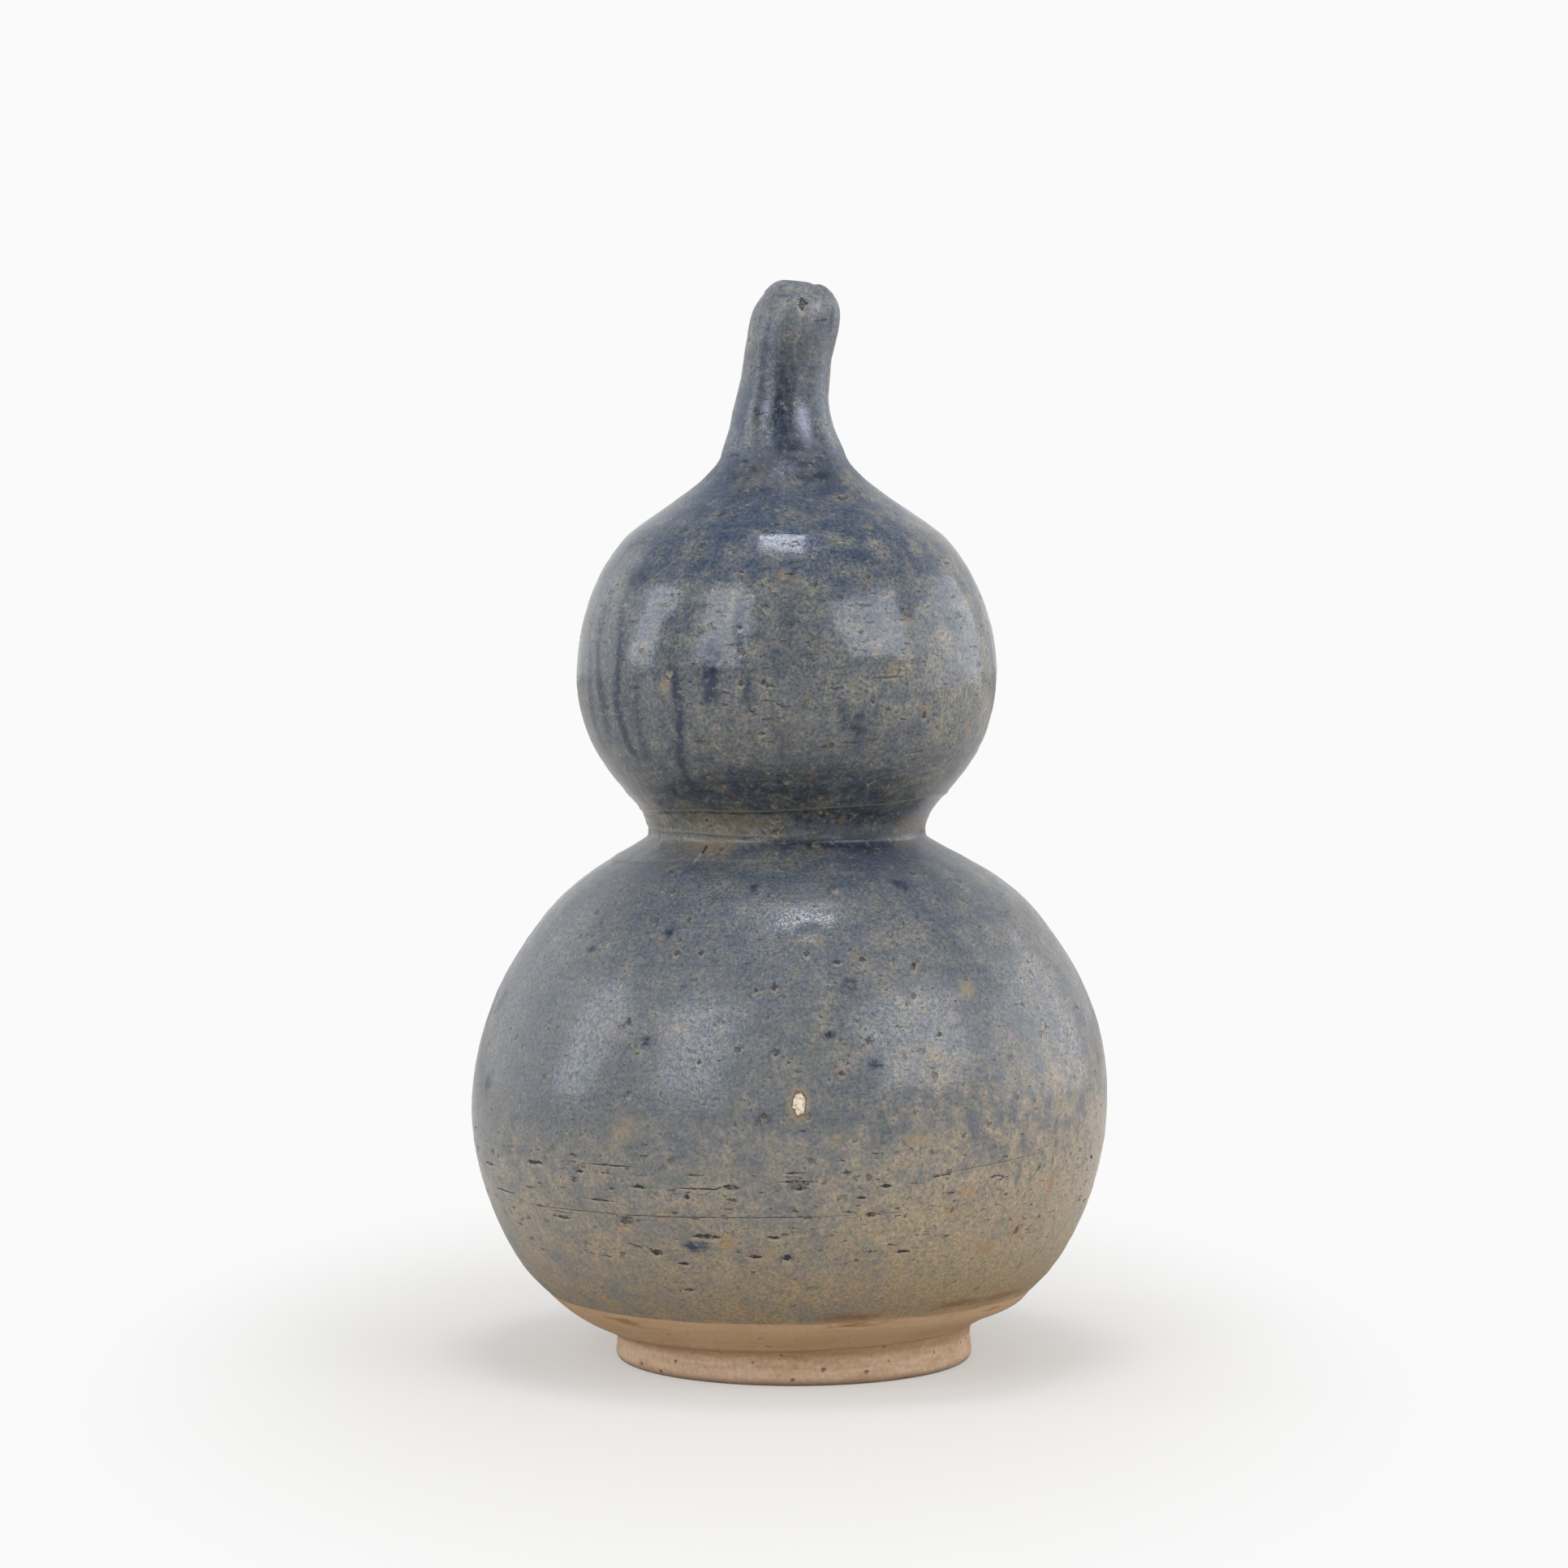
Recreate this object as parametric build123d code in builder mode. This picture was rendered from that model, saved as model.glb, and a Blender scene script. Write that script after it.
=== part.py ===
from build123d import *
import os
from math import asin, cos, radians, sin, sqrt, tan

# Double-gourd vase, thrown in sections that are luted together with slip and glazed.
# Millimetres, +Z up, origin on the standing surface under the middle of the foot.

# Fired thicknesses
wall = 4.5
floor_thickness = 5.0
slip_thickness = 0.5
glaze_thickness = 0.6
glaze_edge_thickness = 0.15

# Foot ring
foot_height = 5.3
foot_radius = 26.95
foot_swell = 0.55
foot_neck_radius = 27.2
foot_ring_width = 6.2
foot_edge_round = 0.9

# Turned facet between the foot and the lower globe
facet_height = 3.1
facet_radius = 35.4
bare_band_height = 2.2

# Lower globe: greatest radius, and half-heights of its ellipse below and above it
lower_radius = 48.3
lower_depth = 45.0
lower_rise = 44.4
lower_seam_drop = 11.3

# Waist between the globes
waist_radius = 20.75
collar_height = 5.1
collar_flare = 1.7

# Upper globe
upper_radius = 31.4
upper_depth = 27.8
upper_rise = 31.3
upper_seam_rise = 13.1

# Shoulder that sweeps from the upper globe into the stem
shoulder_radius = 24.4
shoulder_height = 13.6
shoulder_pull = 5.3
root_radius = 8.8
root_taper = 23.0
root_pull = 6.0

# Pinched stem: spans between its sections, full widths, and sideways drift of their middles
flare_span = 4.5
flare_width = 14.2
neck_span = 6.5
neck_width = 12.3
neck_drift = 0.1
swell_span = 7.8
swell_width = 12.5
swell_drift = 1.7
lip_span = 6.2
lip_width = 8.4
lip_drift = 2.1
lip_tilt = 5.0
pinch = 0.9
lip_round = 0.45
lip_rim_share = 0.45

# Straight bore from the upper chamber to the mouth
bore_radius = 2.5
bore_shift = 1.5


def half_chord(radius, semi_axis, at_radius):
    """Height above an ellipse's middle at which its radius falls to at_radius."""
    return semi_axis * sqrt(1 - (at_radius / radius) ** 2)


def globe_radius(radius, semi_axis, height):
    """Radius of an ellipse at a height above or below its middle."""
    return radius * sqrt(1 - (height / semi_axis) ** 2)


def globe_arc(radius, semi_axis, centre_z, start_z, end_z):
    """Wall line of a globe between two heights, an exact elliptical arc as a rational curve."""
    start = asin(round((start_z - centre_z) / semi_axis, 12))
    end = asin(round((end_z - centre_z) / semi_axis, 12))
    middle = (start + end) / 2
    weight = cos((end - start) / 2)
    points = [
        (radius * cos(start), centre_z + semi_axis * sin(start)),
        (radius * cos(middle) / weight, centre_z + semi_axis * sin(middle) / weight),
        (radius * cos(end), centre_z + semi_axis * sin(end)),
    ]
    return Bezier(*points, weights=[1, weight, 1])


# Inner walls
foot_inner_radius = foot_neck_radius - foot_ring_width
lower_inner_radius = lower_radius - wall
lower_inner_rise = lower_rise - wall
throat_radius = waist_radius - wall
upper_inner_radius = upper_radius - wall
upper_inner_depth = upper_depth - wall
upper_inner_rise = upper_rise - wall

# Heights, from the foot up
bowl_base_z = foot_height + slip_thickness
facet_z = bowl_base_z + facet_height
glaze_line_z = facet_z + bare_band_height
chamber_floor_z = bowl_base_z + floor_thickness
lower_z = facet_z + half_chord(lower_radius, lower_depth, facet_radius)
lower_inner_depth = lower_z - chamber_floor_z
lower_seam_z = lower_z - lower_seam_drop
waist_z = lower_z + half_chord(lower_radius, lower_rise, waist_radius)
collar_base_z = waist_z + slip_thickness
collar_top_z = collar_base_z + collar_height
collar_top_radius = waist_radius + collar_flare
upper_base_z = collar_top_z + slip_thickness
upper_z = upper_base_z + half_chord(upper_radius, upper_depth, collar_top_radius)
upper_seam_z = upper_z + upper_seam_rise
shoulder_z = upper_z + half_chord(upper_radius, upper_rise, shoulder_radius)
root_z = shoulder_z + shoulder_height
stem_base_z = root_z + slip_thickness
stem_base_radius = root_radius - slip_thickness * tan(radians(root_taper))
flare_z = stem_base_z + flare_span
neck_z = flare_z + neck_span
swell_z = neck_z + swell_span
lip_z = swell_z + lip_span

# Rim of clay round the mouth, which limits how far its edges are rounded
lip_rim = min(lip_width / 2 - abs(lip_drift - bore_shift), lip_width * pinch / 2) - bore_radius
lip_fillet = min(lip_round, lip_rim_share * lip_rim)


def shoulder_curve(skin):
    """Ogee from the upper globe to the stem's root, standing proud of the clay by skin."""
    start_radius = shoulder_radius + skin
    start_height = half_chord(upper_radius + skin, upper_rise + skin, start_radius)
    slope = ((upper_radius + skin) / (upper_rise + skin)) ** 2 * start_height / start_radius
    start = Vector(start_radius, upper_z + start_height)
    end = Vector(root_radius + skin, root_z)
    leave = Vector(-slope, 1).normalized() * shoulder_pull
    arrive = Vector(-sin(radians(root_taper)), cos(radians(root_taper))) * root_pull
    return Bezier(start, start + leave, end - arrive, end)


def stem_sections(skin):
    """Cross-sections of the stem from root to lip, standing proud of the clay by skin."""
    planes = (
        (Plane((0, 0, stem_base_z)), stem_base_radius, stem_base_radius),
        (Plane((0, 0, flare_z)), flare_width / 2, flare_width * pinch / 2),
        (Plane((neck_drift, 0, neck_z)), neck_width / 2, neck_width * pinch / 2),
        (Plane((swell_drift, 0, swell_z)), swell_width / 2, swell_width * pinch / 2),
        (
            Plane((lip_drift, 0, lip_z + skin)).rotated((0, lip_tilt, 0)),
            lip_width / 2,
            lip_width * pinch / 2,
        ),
    )
    sections = []
    for plane, half_width, half_depth in planes:
        with BuildSketch(plane) as section:
            Ellipse(half_width + skin, half_depth + skin)
        sections.append(section.sketch)
    return sections


def turn_chamber(radius, depth, rise, centre_z):
    """Hollow inside a globe, turned as one closed form."""
    with BuildPart() as chamber:
        with BuildSketch(Plane.XZ):
            with BuildLine():
                globe_arc(radius, depth, centre_z, centre_z - depth, centre_z)
                globe_arc(radius, rise, centre_z, centre_z, centre_z + rise)
                Line((0, centre_z - depth), (0, centre_z + rise))
            make_face()
        revolve(axis=Axis.Z)
    return chamber


def slip_disc(base_z, base_radius, top_radius, hollows):
    """Ring of luting slip between two sections, open where the hollows pass."""
    with BuildPart() as ring:
        with BuildSketch(Plane.XZ):
            with BuildLine():
                Polyline(
                    (0, base_z),
                    (base_radius, base_z),
                    (top_radius, base_z + slip_thickness),
                    (0, base_z + slip_thickness),
                    close=True,
                )
            make_face()
        revolve(axis=Axis.Z)
        add(hollows, mode=Mode.SUBTRACT)
    return ring


def slip_band(radius, semi_axis, centre_z, base_z, hollows):
    """Ring of luting slip at a globe's seam, its face flush with the globe."""
    top_z = base_z + slip_thickness
    with BuildPart() as ring:
        with BuildSketch(Plane.XZ):
            with BuildLine():
                face = globe_arc(radius, semi_axis, centre_z, base_z, top_z)
                Polyline(face @ 1, (0, top_z), (0, base_z), face @ 0)
            make_face()
        revolve(axis=Axis.Z)
        add(hollows, mode=Mode.SUBTRACT)
    return ring


# Hollows: the recess in the foot, two chambers, the throat between them and the bore to the mouth
with BuildPart() as foot_recess:
    with BuildSketch():
        Circle(foot_inner_radius)
    extrude(amount=bowl_base_z)

lower_chamber = turn_chamber(lower_inner_radius, lower_inner_depth, lower_inner_rise, lower_z)
upper_chamber = turn_chamber(upper_inner_radius, upper_inner_depth, upper_inner_rise, upper_z)

with BuildPart() as throat:
    with BuildSketch(Plane.XY.offset(lower_z)):
        Circle(throat_radius)
    extrude(amount=upper_z - lower_z)

with BuildPart() as bore:
    with BuildSketch(Plane((bore_shift, 0, upper_z))):
        Circle(bore_radius)
    extrude(amount=lip_z + lip_width - upper_z)

waist_hollows = [lower_chamber.part, throat.part, upper_chamber.part]

# Foot ring, with a slightly swollen outer face and worn edges
with BuildPart() as foot_ring:
    with BuildSketch(Plane.XZ):
        with BuildLine():
            ThreePointArc(
                (foot_radius, 0),
                (foot_neck_radius + foot_swell, foot_height / 2),
                (foot_neck_radius, foot_height),
            )
            Polyline(
                (foot_neck_radius, foot_height),
                (foot_inner_radius, foot_height),
                (foot_inner_radius, 0),
                (foot_radius, 0),
            )
        make_face()
    revolve(axis=Axis.Z)
    standing_edges = foot_ring.faces().sort_by(Axis.Z)[0].edges()
    fillet(standing_edges, foot_edge_round)

# Bowl of the lower globe, with the vase's floor and the turned facet above the foot
with BuildPart() as lower_bowl:
    with BuildSketch(Plane.XZ):
        with BuildLine():
            face = globe_arc(lower_radius, lower_depth, lower_z, facet_z, lower_seam_z)
            Polyline(
                face @ 1,
                (0, lower_seam_z),
                (0, bowl_base_z),
                (foot_neck_radius, bowl_base_z),
                face @ 0,
            )
        make_face()
    revolve(axis=Axis.Z)
    add(lower_chamber.part, mode=Mode.SUBTRACT)

# Dome of the lower globe, closing in to the throat
with BuildPart() as lower_dome:
    base_z = lower_seam_z + slip_thickness
    with BuildSketch(Plane.XZ):
        with BuildLine():
            face = globe_arc(lower_radius, lower_depth, lower_z, base_z, lower_z)
            globe_arc(lower_radius, lower_rise, lower_z, lower_z, waist_z)
            Polyline((waist_radius, waist_z), (0, waist_z), (0, base_z), face @ 0)
        make_face()
    revolve(axis=Axis.Z)
    add(waist_hollows, mode=Mode.SUBTRACT)

# Collar at the waist, flaring towards the upper globe
with BuildPart() as waist_collar:
    with BuildSketch(Plane.XZ):
        with BuildLine():
            face = TangentArc(
                (waist_radius, collar_base_z), (collar_top_radius, collar_top_z), tangent=(0, 1)
            )
            Polyline(face @ 1, (0, collar_top_z), (0, collar_base_z), face @ 0)
        make_face()
    revolve(axis=Axis.Z)
    add(waist_hollows, mode=Mode.SUBTRACT)

# Bowl of the upper globe, up past its greatest radius
with BuildPart() as upper_bowl:
    with BuildSketch(Plane.XZ):
        with BuildLine():
            globe_arc(upper_radius, upper_depth, upper_z, upper_base_z, upper_z)
            face = globe_arc(upper_radius, upper_rise, upper_z, upper_z, upper_seam_z)
            Polyline(
                face @ 1,
                (0, upper_seam_z),
                (0, upper_base_z),
                (collar_top_radius, upper_base_z),
            )
        make_face()
    revolve(axis=Axis.Z)
    add(waist_hollows, mode=Mode.SUBTRACT)

# Dome of the upper globe, drawn up through an ogee to the stem's root
with BuildPart() as upper_dome:
    base_z = upper_seam_z + slip_thickness
    with BuildSketch(Plane.XZ):
        with BuildLine():
            face = globe_arc(upper_radius, upper_rise, upper_z, base_z, shoulder_z)
            shoulder_curve(0)
            Polyline((root_radius, root_z), (0, root_z), (0, base_z), face @ 0)
        make_face()
    revolve(axis=Axis.Z)
    add([upper_chamber.part, bore.part], mode=Mode.SUBTRACT)

# Stem, pinched and leaning, with a tilted lip round the mouth
with BuildPart() as stem:
    loft(stem_sections(0))
    add(bore.part, mode=Mode.SUBTRACT)
    lip_edges = stem.faces().sort_by(Axis.Z)[-1].edges()
    fillet(lip_edges, lip_fillet)

# Rings of luting slip between the sections
foot_slip = slip_disc(foot_height, foot_neck_radius, foot_neck_radius, foot_recess.part)
lower_globe_slip = slip_band(lower_radius, lower_depth, lower_z, lower_seam_z, lower_chamber.part)
lower_waist_slip = slip_disc(waist_z, waist_radius, waist_radius, waist_hollows)
upper_waist_slip = slip_disc(collar_top_z, collar_top_radius, collar_top_radius, waist_hollows)
upper_globe_slip = slip_band(upper_radius, upper_rise, upper_z, upper_seam_z, upper_chamber.part)
stem_slip = slip_disc(root_z, root_radius, stem_base_radius, bore.part)

# Glaze over the clay, thinning to its lower edge above the bare facet
glaze_lower_radius = lower_radius + glaze_thickness
glaze_lower_rise = lower_rise + glaze_thickness
glaze_upper_radius = upper_radius + glaze_thickness
glaze_upper_depth = upper_depth + glaze_thickness
glaze_upper_rise = upper_rise + glaze_thickness
glaze_waist_radius = waist_radius + glaze_thickness
glaze_collar_radius = collar_top_radius + glaze_thickness
glaze_drop = lower_z - glaze_line_z
glaze_edge_radius = globe_radius(lower_radius, lower_depth, glaze_drop) + glaze_edge_thickness
glaze_lower_depth = glaze_drop / sqrt(1 - (glaze_edge_radius / glaze_lower_radius) ** 2)
glaze_waist_z = lower_z + half_chord(glaze_lower_radius, glaze_lower_rise, glaze_waist_radius)
glaze_collar_z = upper_z - half_chord(glaze_upper_radius, glaze_upper_depth, glaze_collar_radius)
glaze_shoulder_z = upper_z + half_chord(
    glaze_upper_radius, glaze_upper_rise, shoulder_radius + glaze_thickness
)

with BuildPart() as glaze_coat:
    with BuildSketch(Plane.XZ):
        with BuildLine():
            skin = globe_arc(glaze_lower_radius, glaze_lower_depth, lower_z, glaze_line_z, lower_z)
            globe_arc(glaze_lower_radius, glaze_lower_rise, lower_z, lower_z, glaze_waist_z)
            TangentArc(
                (glaze_waist_radius, glaze_waist_z),
                (glaze_collar_radius, glaze_collar_z),
                tangent=(0, 1),
            )
            globe_arc(glaze_upper_radius, glaze_upper_depth, upper_z, glaze_collar_z, upper_z)
            globe_arc(glaze_upper_radius, glaze_upper_rise, upper_z, upper_z, glaze_shoulder_z)
            shoulder_curve(glaze_thickness)
            clay = globe_arc(lower_radius, lower_depth, lower_z, glaze_line_z, lower_z)
            globe_arc(lower_radius, lower_rise, lower_z, lower_z, waist_z)
            Line((waist_radius, waist_z), (waist_radius, collar_base_z))
            TangentArc(
                (waist_radius, collar_base_z), (collar_top_radius, collar_top_z), tangent=(0, 1)
            )
            Line((collar_top_radius, collar_top_z), (collar_top_radius, upper_base_z))
            globe_arc(upper_radius, upper_depth, upper_z, upper_base_z, upper_z)
            globe_arc(upper_radius, upper_rise, upper_z, upper_z, shoulder_z)
            shoulder_curve(0)
            Polyline(
                (root_radius, root_z),
                (stem_base_radius, stem_base_z),
                (stem_base_radius + glaze_thickness, stem_base_z),
                (root_radius + glaze_thickness, root_z),
            )
            Line(clay @ 0, skin @ 0)
        make_face()
    revolve(axis=Axis.Z)

with BuildPart() as stem_glaze:
    loft(stem_sections(glaze_thickness))
    lip_edges = stem_glaze.faces().sort_by(Axis.Z)[-1].edges()
    fillet(lip_edges, lip_fillet + glaze_thickness)
    add([bore.part, stem.part], mode=Mode.SUBTRACT)

with glaze_coat:
    add(stem_glaze.part)

pieces = {
    "foot_ring": foot_ring,
    "foot_slip": foot_slip,
    "lower_bowl": lower_bowl,
    "lower_globe_slip": lower_globe_slip,
    "lower_dome": lower_dome,
    "lower_waist_slip": lower_waist_slip,
    "waist_collar": waist_collar,
    "upper_waist_slip": upper_waist_slip,
    "upper_bowl": upper_bowl,
    "upper_globe_slip": upper_globe_slip,
    "upper_dome": upper_dome,
    "stem_slip": stem_slip,
    "stem": stem,
    "glaze_coat": glaze_coat,
}

os.makedirs("parts", exist_ok=True)
for name, piece in pieces.items():
    piece.part.label = name
    export_step(piece.part, f"parts/{name}.step")
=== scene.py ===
import math
import random
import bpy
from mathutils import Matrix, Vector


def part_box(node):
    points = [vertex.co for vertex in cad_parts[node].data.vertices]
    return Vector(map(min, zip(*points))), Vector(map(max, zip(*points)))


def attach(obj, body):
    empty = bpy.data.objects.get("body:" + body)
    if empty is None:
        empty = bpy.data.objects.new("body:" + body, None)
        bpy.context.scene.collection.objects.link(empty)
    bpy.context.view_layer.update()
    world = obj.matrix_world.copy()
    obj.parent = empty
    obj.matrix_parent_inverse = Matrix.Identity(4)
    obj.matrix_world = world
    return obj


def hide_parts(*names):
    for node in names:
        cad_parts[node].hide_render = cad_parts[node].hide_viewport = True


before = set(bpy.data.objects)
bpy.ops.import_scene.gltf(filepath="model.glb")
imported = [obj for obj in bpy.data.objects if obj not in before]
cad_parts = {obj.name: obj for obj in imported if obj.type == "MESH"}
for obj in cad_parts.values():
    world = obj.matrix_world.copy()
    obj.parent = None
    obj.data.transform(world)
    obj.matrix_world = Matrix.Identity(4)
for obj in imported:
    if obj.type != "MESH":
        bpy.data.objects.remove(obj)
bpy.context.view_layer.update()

from types import SimpleNamespace

import bpy
import numpy as np
from mathutils import Vector, noise

MM = 0.001  # one millimetre in the frame's metres

# The vase's sizes in millimetres. Those that the CAD settles are read from the boxes of its nodes.


def heights(node):
    """Lowest and highest z of a CAD node in millimetres."""
    low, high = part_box(node)
    return low.z / MM, high.z / MM


def reach(node):
    """Largest x of a CAD node in millimetres, the radius of a turned one."""
    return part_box(node)[1].x / MM


GLAZE = 0.6          # glaze on the clay
WALL = 4.5           # thrown wall
EDGE_GLAZE = 0.15    # glaze at its lower line and inside the mouth
CLEAR = 0.05         # air between the glaze and the clay
HAND_ROOM = 0.12     # room for the potter's lumps inside the CAD's box
FLOOR_THICK = 5.0    # clay under the lower chamber
BORE = 2.5           # radius of the hole down the stem

FOOT_TOP = heights("foot_ring")[1]
FOOT_RADIUS = reach("foot_ring")
RECESS = FOOT_RADIUS - 6.2   # radius of the hollow under the foot
BOWL_BASE, LOWER_SEAM = heights("lower_bowl")
DOME_BASE, DOME_TOP = heights("lower_dome")
COLLAR_LOW, COLLAR_HIGH = heights("waist_collar")
UPPER_BASE, UPPER_SEAM = heights("upper_bowl")
CROWN_BASE, ROOT = heights("upper_dome")
STEM_BASE = heights("stem")[0]
GLAZE_LINE, TOP = heights("glaze_coat")

FOOT_LIP = 28.3              # top of the foot, under its bead of slip
FACET_NECK = 29.2            # lower end of the trimmed facet under the bowl
FACET_TOP = 12.4             # height where the facet has run out into the globe
CHAMBER_FLOOR = BOWL_BASE + FLOOR_THICK
LOWER_MID = LOWER_SEAM + 11.3    # height of the lower globe's widest place
LOWER_RADIUS = reach("glaze_coat") - GLAZE - HAND_ROOM
LOWER_DEPTH, LOWER_RISE = 45.0, 44.4
WAIST_RADIUS = reach("lower_waist_slip")
WAIST_FLARE = 1.7
THROAT = WAIST_RADIUS - WALL
UPPER_MID = UPPER_SEAM - 13.1    # height of the upper globe's widest place
UPPER_RADIUS = reach("upper_bowl")
UPPER_DEPTH, UPPER_RISE = 27.8, 31.3
CROWN_TOP = UPPER_MID + 26.7     # top of the upper chamber
SHOULDER = ROOT - 13.6           # height where the ogee leaves the upper globe
SHOULDER_RADIUS, SHOULDER_PULL = 24.4, 5.3
ROOT_RADIUS, ROOT_PULL, ROOT_TAPER = 8.8, 6.0, math.radians(23)

COLLAR_REACH = 14            # how far from the collar's foot its line counts
COLLAR_SINK = 0.25           # how far the collar lies inside the slip below it
WAIST_FILLET, NECK_FILLET = 1.4, 0.5
SWELL = (0.4, 70.5, 4)       # the lower globe is fuller here: how far, at what height, over what reach
CREASE = (0.3, 77.6, 1.8)    # and drawn in here

TURNS = 280          # steps round what shows
CLAY_TURNS = 96      # steps round clay under the glaze


def soft_max(a, b, blend):
    """The larger of two radii, with a fillet where they meet."""
    return (a + b + np.sqrt((a - b) ** 2 + blend ** 2)) / 2


def globe(z, middle, radius, depth, rise):
    """Radius of a globe that is drawn out differently above and below."""
    half = np.where(z < middle, depth, rise)
    return radius * np.sqrt(np.clip(1 - ((z - middle) / half) ** 2, 0, None))


def smooth_through(points, per_span):
    """A Catmull-Rom line through (r, z) points."""
    p = np.array(points, float)
    p = np.vstack([2 * p[0] - p[1], p, 2 * p[-1] - p[-2]])
    t = np.linspace(0, 1, per_span, endpoint=False)[:, None]
    spans = []
    for a, b, c, d in zip(p, p[1:], p[2:], p[3:]):
        bend, twist = 2 * a - 5 * b + 4 * c - d, 3 * b - a - 3 * c + d
        spans.append(0.5 * (2 * b + (c - a) * t + bend * t ** 2 + twist * t ** 3))
    return np.vstack(spans + [p[-2:-1]])


def ramp(value, low, high):
    """0 below low, 1 above high, with an eased climb between."""
    t = np.clip((np.asarray(value, float) - low) / (high - low), 0, 1)
    return t * t * (3 - 2 * t)


def hump(value, middle, width, power=2):
    """A rise to 1 at the middle that dies away over the width, flatter on top with a higher power."""
    return np.exp(-((value - middle) / width) ** power)


def clay_radius(z):
    """Outside of the clay from the bowl to the shoulder."""
    z = np.asarray(z, float)
    lower = globe(z, LOWER_MID, LOWER_RADIUS, LOWER_DEPTH, LOWER_RISE)
    upper = globe(z, UPPER_MID, UPPER_RADIUS, UPPER_DEPTH, UPPER_RISE)
    up = np.clip((z - COLLAR_LOW) / (COLLAR_HIGH - COLLAR_LOW), 0, 1.4)
    flared = WAIST_RADIUS + WAIST_FLARE * up ** 2 - COLLAR_SINK
    collar = np.where(abs(z - COLLAR_LOW) < COLLAR_REACH, flared, 0)
    full = SWELL[0] * hump(z, *SWELL[1:]) - CREASE[0] * hump(z, *CREASE[1:])
    return soft_max(soft_max(lower, collar, WAIST_FILLET), upper, NECK_FILLET) + full


def hollow_radius(z):
    """Inside of the clay from the chamber floor to the crown."""
    z = np.asarray(z, float)
    lower = globe(z, LOWER_MID, LOWER_RADIUS - WALL, LOWER_DEPTH - WALL, LOWER_RISE - WALL)
    upper = globe(z, UPPER_MID, UPPER_RADIUS - WALL, UPPER_DEPTH - WALL, UPPER_RISE - WALL)
    return np.maximum(np.maximum(lower, upper), np.where(z < UPPER_MID, THROAT, BORE))


def shoulder_line(count):
    """The ogee from the upper globe to the root of the stem, as (r, z)."""
    slope = (clay_radius(SHOULDER + 0.1) - clay_radius(SHOULDER - 0.1)) / 0.2
    along = np.array([slope, 1]) / math.hypot(slope, 1)
    start = np.array([SHOULDER_RADIUS, SHOULDER])
    end = np.array([ROOT_RADIUS, ROOT])
    a = start + along * SHOULDER_PULL
    b = end - np.array([-math.sin(ROOT_TAPER), math.cos(ROOT_TAPER)]) * ROOT_PULL
    t = np.linspace(0, 1, count)[:, None]
    return start * (1 - t) ** 3 + 3 * a * t * (1 - t) ** 2 + 3 * b * t ** 2 * (1 - t) + end * t ** 3


# The stem's outside and its lip, as clay: half widths up to the mouth.
LIP = TOP - 0.52
STEM_LINE = [
    (8.75, STEM_BASE), (7.45, 142.4), (6.72, 146.0), (6.38, 149.0), (6.24, 152.0), (6.36, 155.0),
    (6.35, 158.0), (6.1, 160.3), (5.55, 161.9), (4.75, LIP - 1.25), (4.0, LIP - 0.5), (3.3, LIP - 0.1),
    (2.9, LIP),
]
MOUTH_LINE = [
    (2.9, LIP), (2.6, LIP - 0.25), (2.45, LIP - 0.9), (2.45, LIP - 1.8), (2.45, LIP - 3.4), (2.45, LIP - 5.5),
]
BORE_TOP = 150.0     # where the mouth has run into the straight bore

# Where the middle of the vase lies at each height: it was thrown and joined by
# hand, so the parts sit a little off the foot's axis and the stem leans.
CENTRE_LINE = smooth_through([
    (0.75, -5), (0.75, 3), (0.35, 7), (-0.1, 12), (0.0, 22), (0.0, 32), (0.1, 40), (0.35, 47), (0.5, 54),
    (0.5, 66), (0.3, 74), (-0.3, 81), (-0.35, 96), (-0.35, 112), (-0.55, 128), (-0.87, 139), (-1.04, 145.5),
    (-0.28, 152), (0.4, 155.8), (0.86, 158.2), (1.27, 160.9), (1.52, 163), (1.6, 170),
], 8)
FOOT_TILT = 0.026                 # climb of the foot's top to the right
STEM_FACE = math.radians(24)      # the side that the stem is pinched flat on, from the front to the right
STEM_PINCH = 0.1                  # how much of the stem's depth the pinch takes there
LIP_LOW, LIP_HIGH = 159, 164      # the lip's dips grow from none to full between these heights
LIP_CREST = -2.4                  # x of the lip's highest place
LIP_FALL_RIGHT, LIP_FALL_LEFT = 0.10, 0.12
LIP_NICKS = [(0.45, 1.0, 0.3), (0.3, -2.3, 0.35)]   # depth, and angle and half width in radians


def settle(points):
    """Gives points of a true turned form the vase's own lean, pinch and tilt."""
    x, y, z = points.T.copy()
    turn = np.arctan2(x, -y)
    tilt = FOOT_TILT * x * ramp(z, 1.5, 5.5) * (1 - ramp(z, 6.5, 10))
    shift = np.interp(z, CENTRE_LINE[:, 1], CENTRE_LINE[:, 0])
    face_x, face_y = math.sin(STEM_FACE), -math.cos(STEM_FACE)
    front = np.clip(np.cos(turn - STEM_FACE), 0, 1)
    pinch = STEM_PINCH * ramp(z, 147, 156) * front ** 2 * (x * face_x + y * face_y)
    lip = np.clip((z - LIP_LOW) / (LIP_HIGH - LIP_LOW), 0, 1) ** 1.5
    dip = LIP_FALL_RIGHT * np.clip(x - LIP_CREST, 0, None) + LIP_FALL_LEFT * np.clip(LIP_CREST - x, 0, None)
    for depth, angle, half in LIP_NICKS:
        dip += depth * hump(turn, angle, half)
    z = np.maximum(z + tilt - lip * dip, 0)
    return np.column_stack([x + shift - face_x * pinch, y - face_y * pinch, z])


def mesh_points(obj):
    flat = np.empty(len(obj.data.vertices) * 3)
    obj.data.vertices.foreach_get("co", flat)
    return flat.reshape(-1, 3) / MM


def set_points(obj, points):
    obj.data.vertices.foreach_set("co", (points * MM).ravel())
    obj.data.update()


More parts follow.
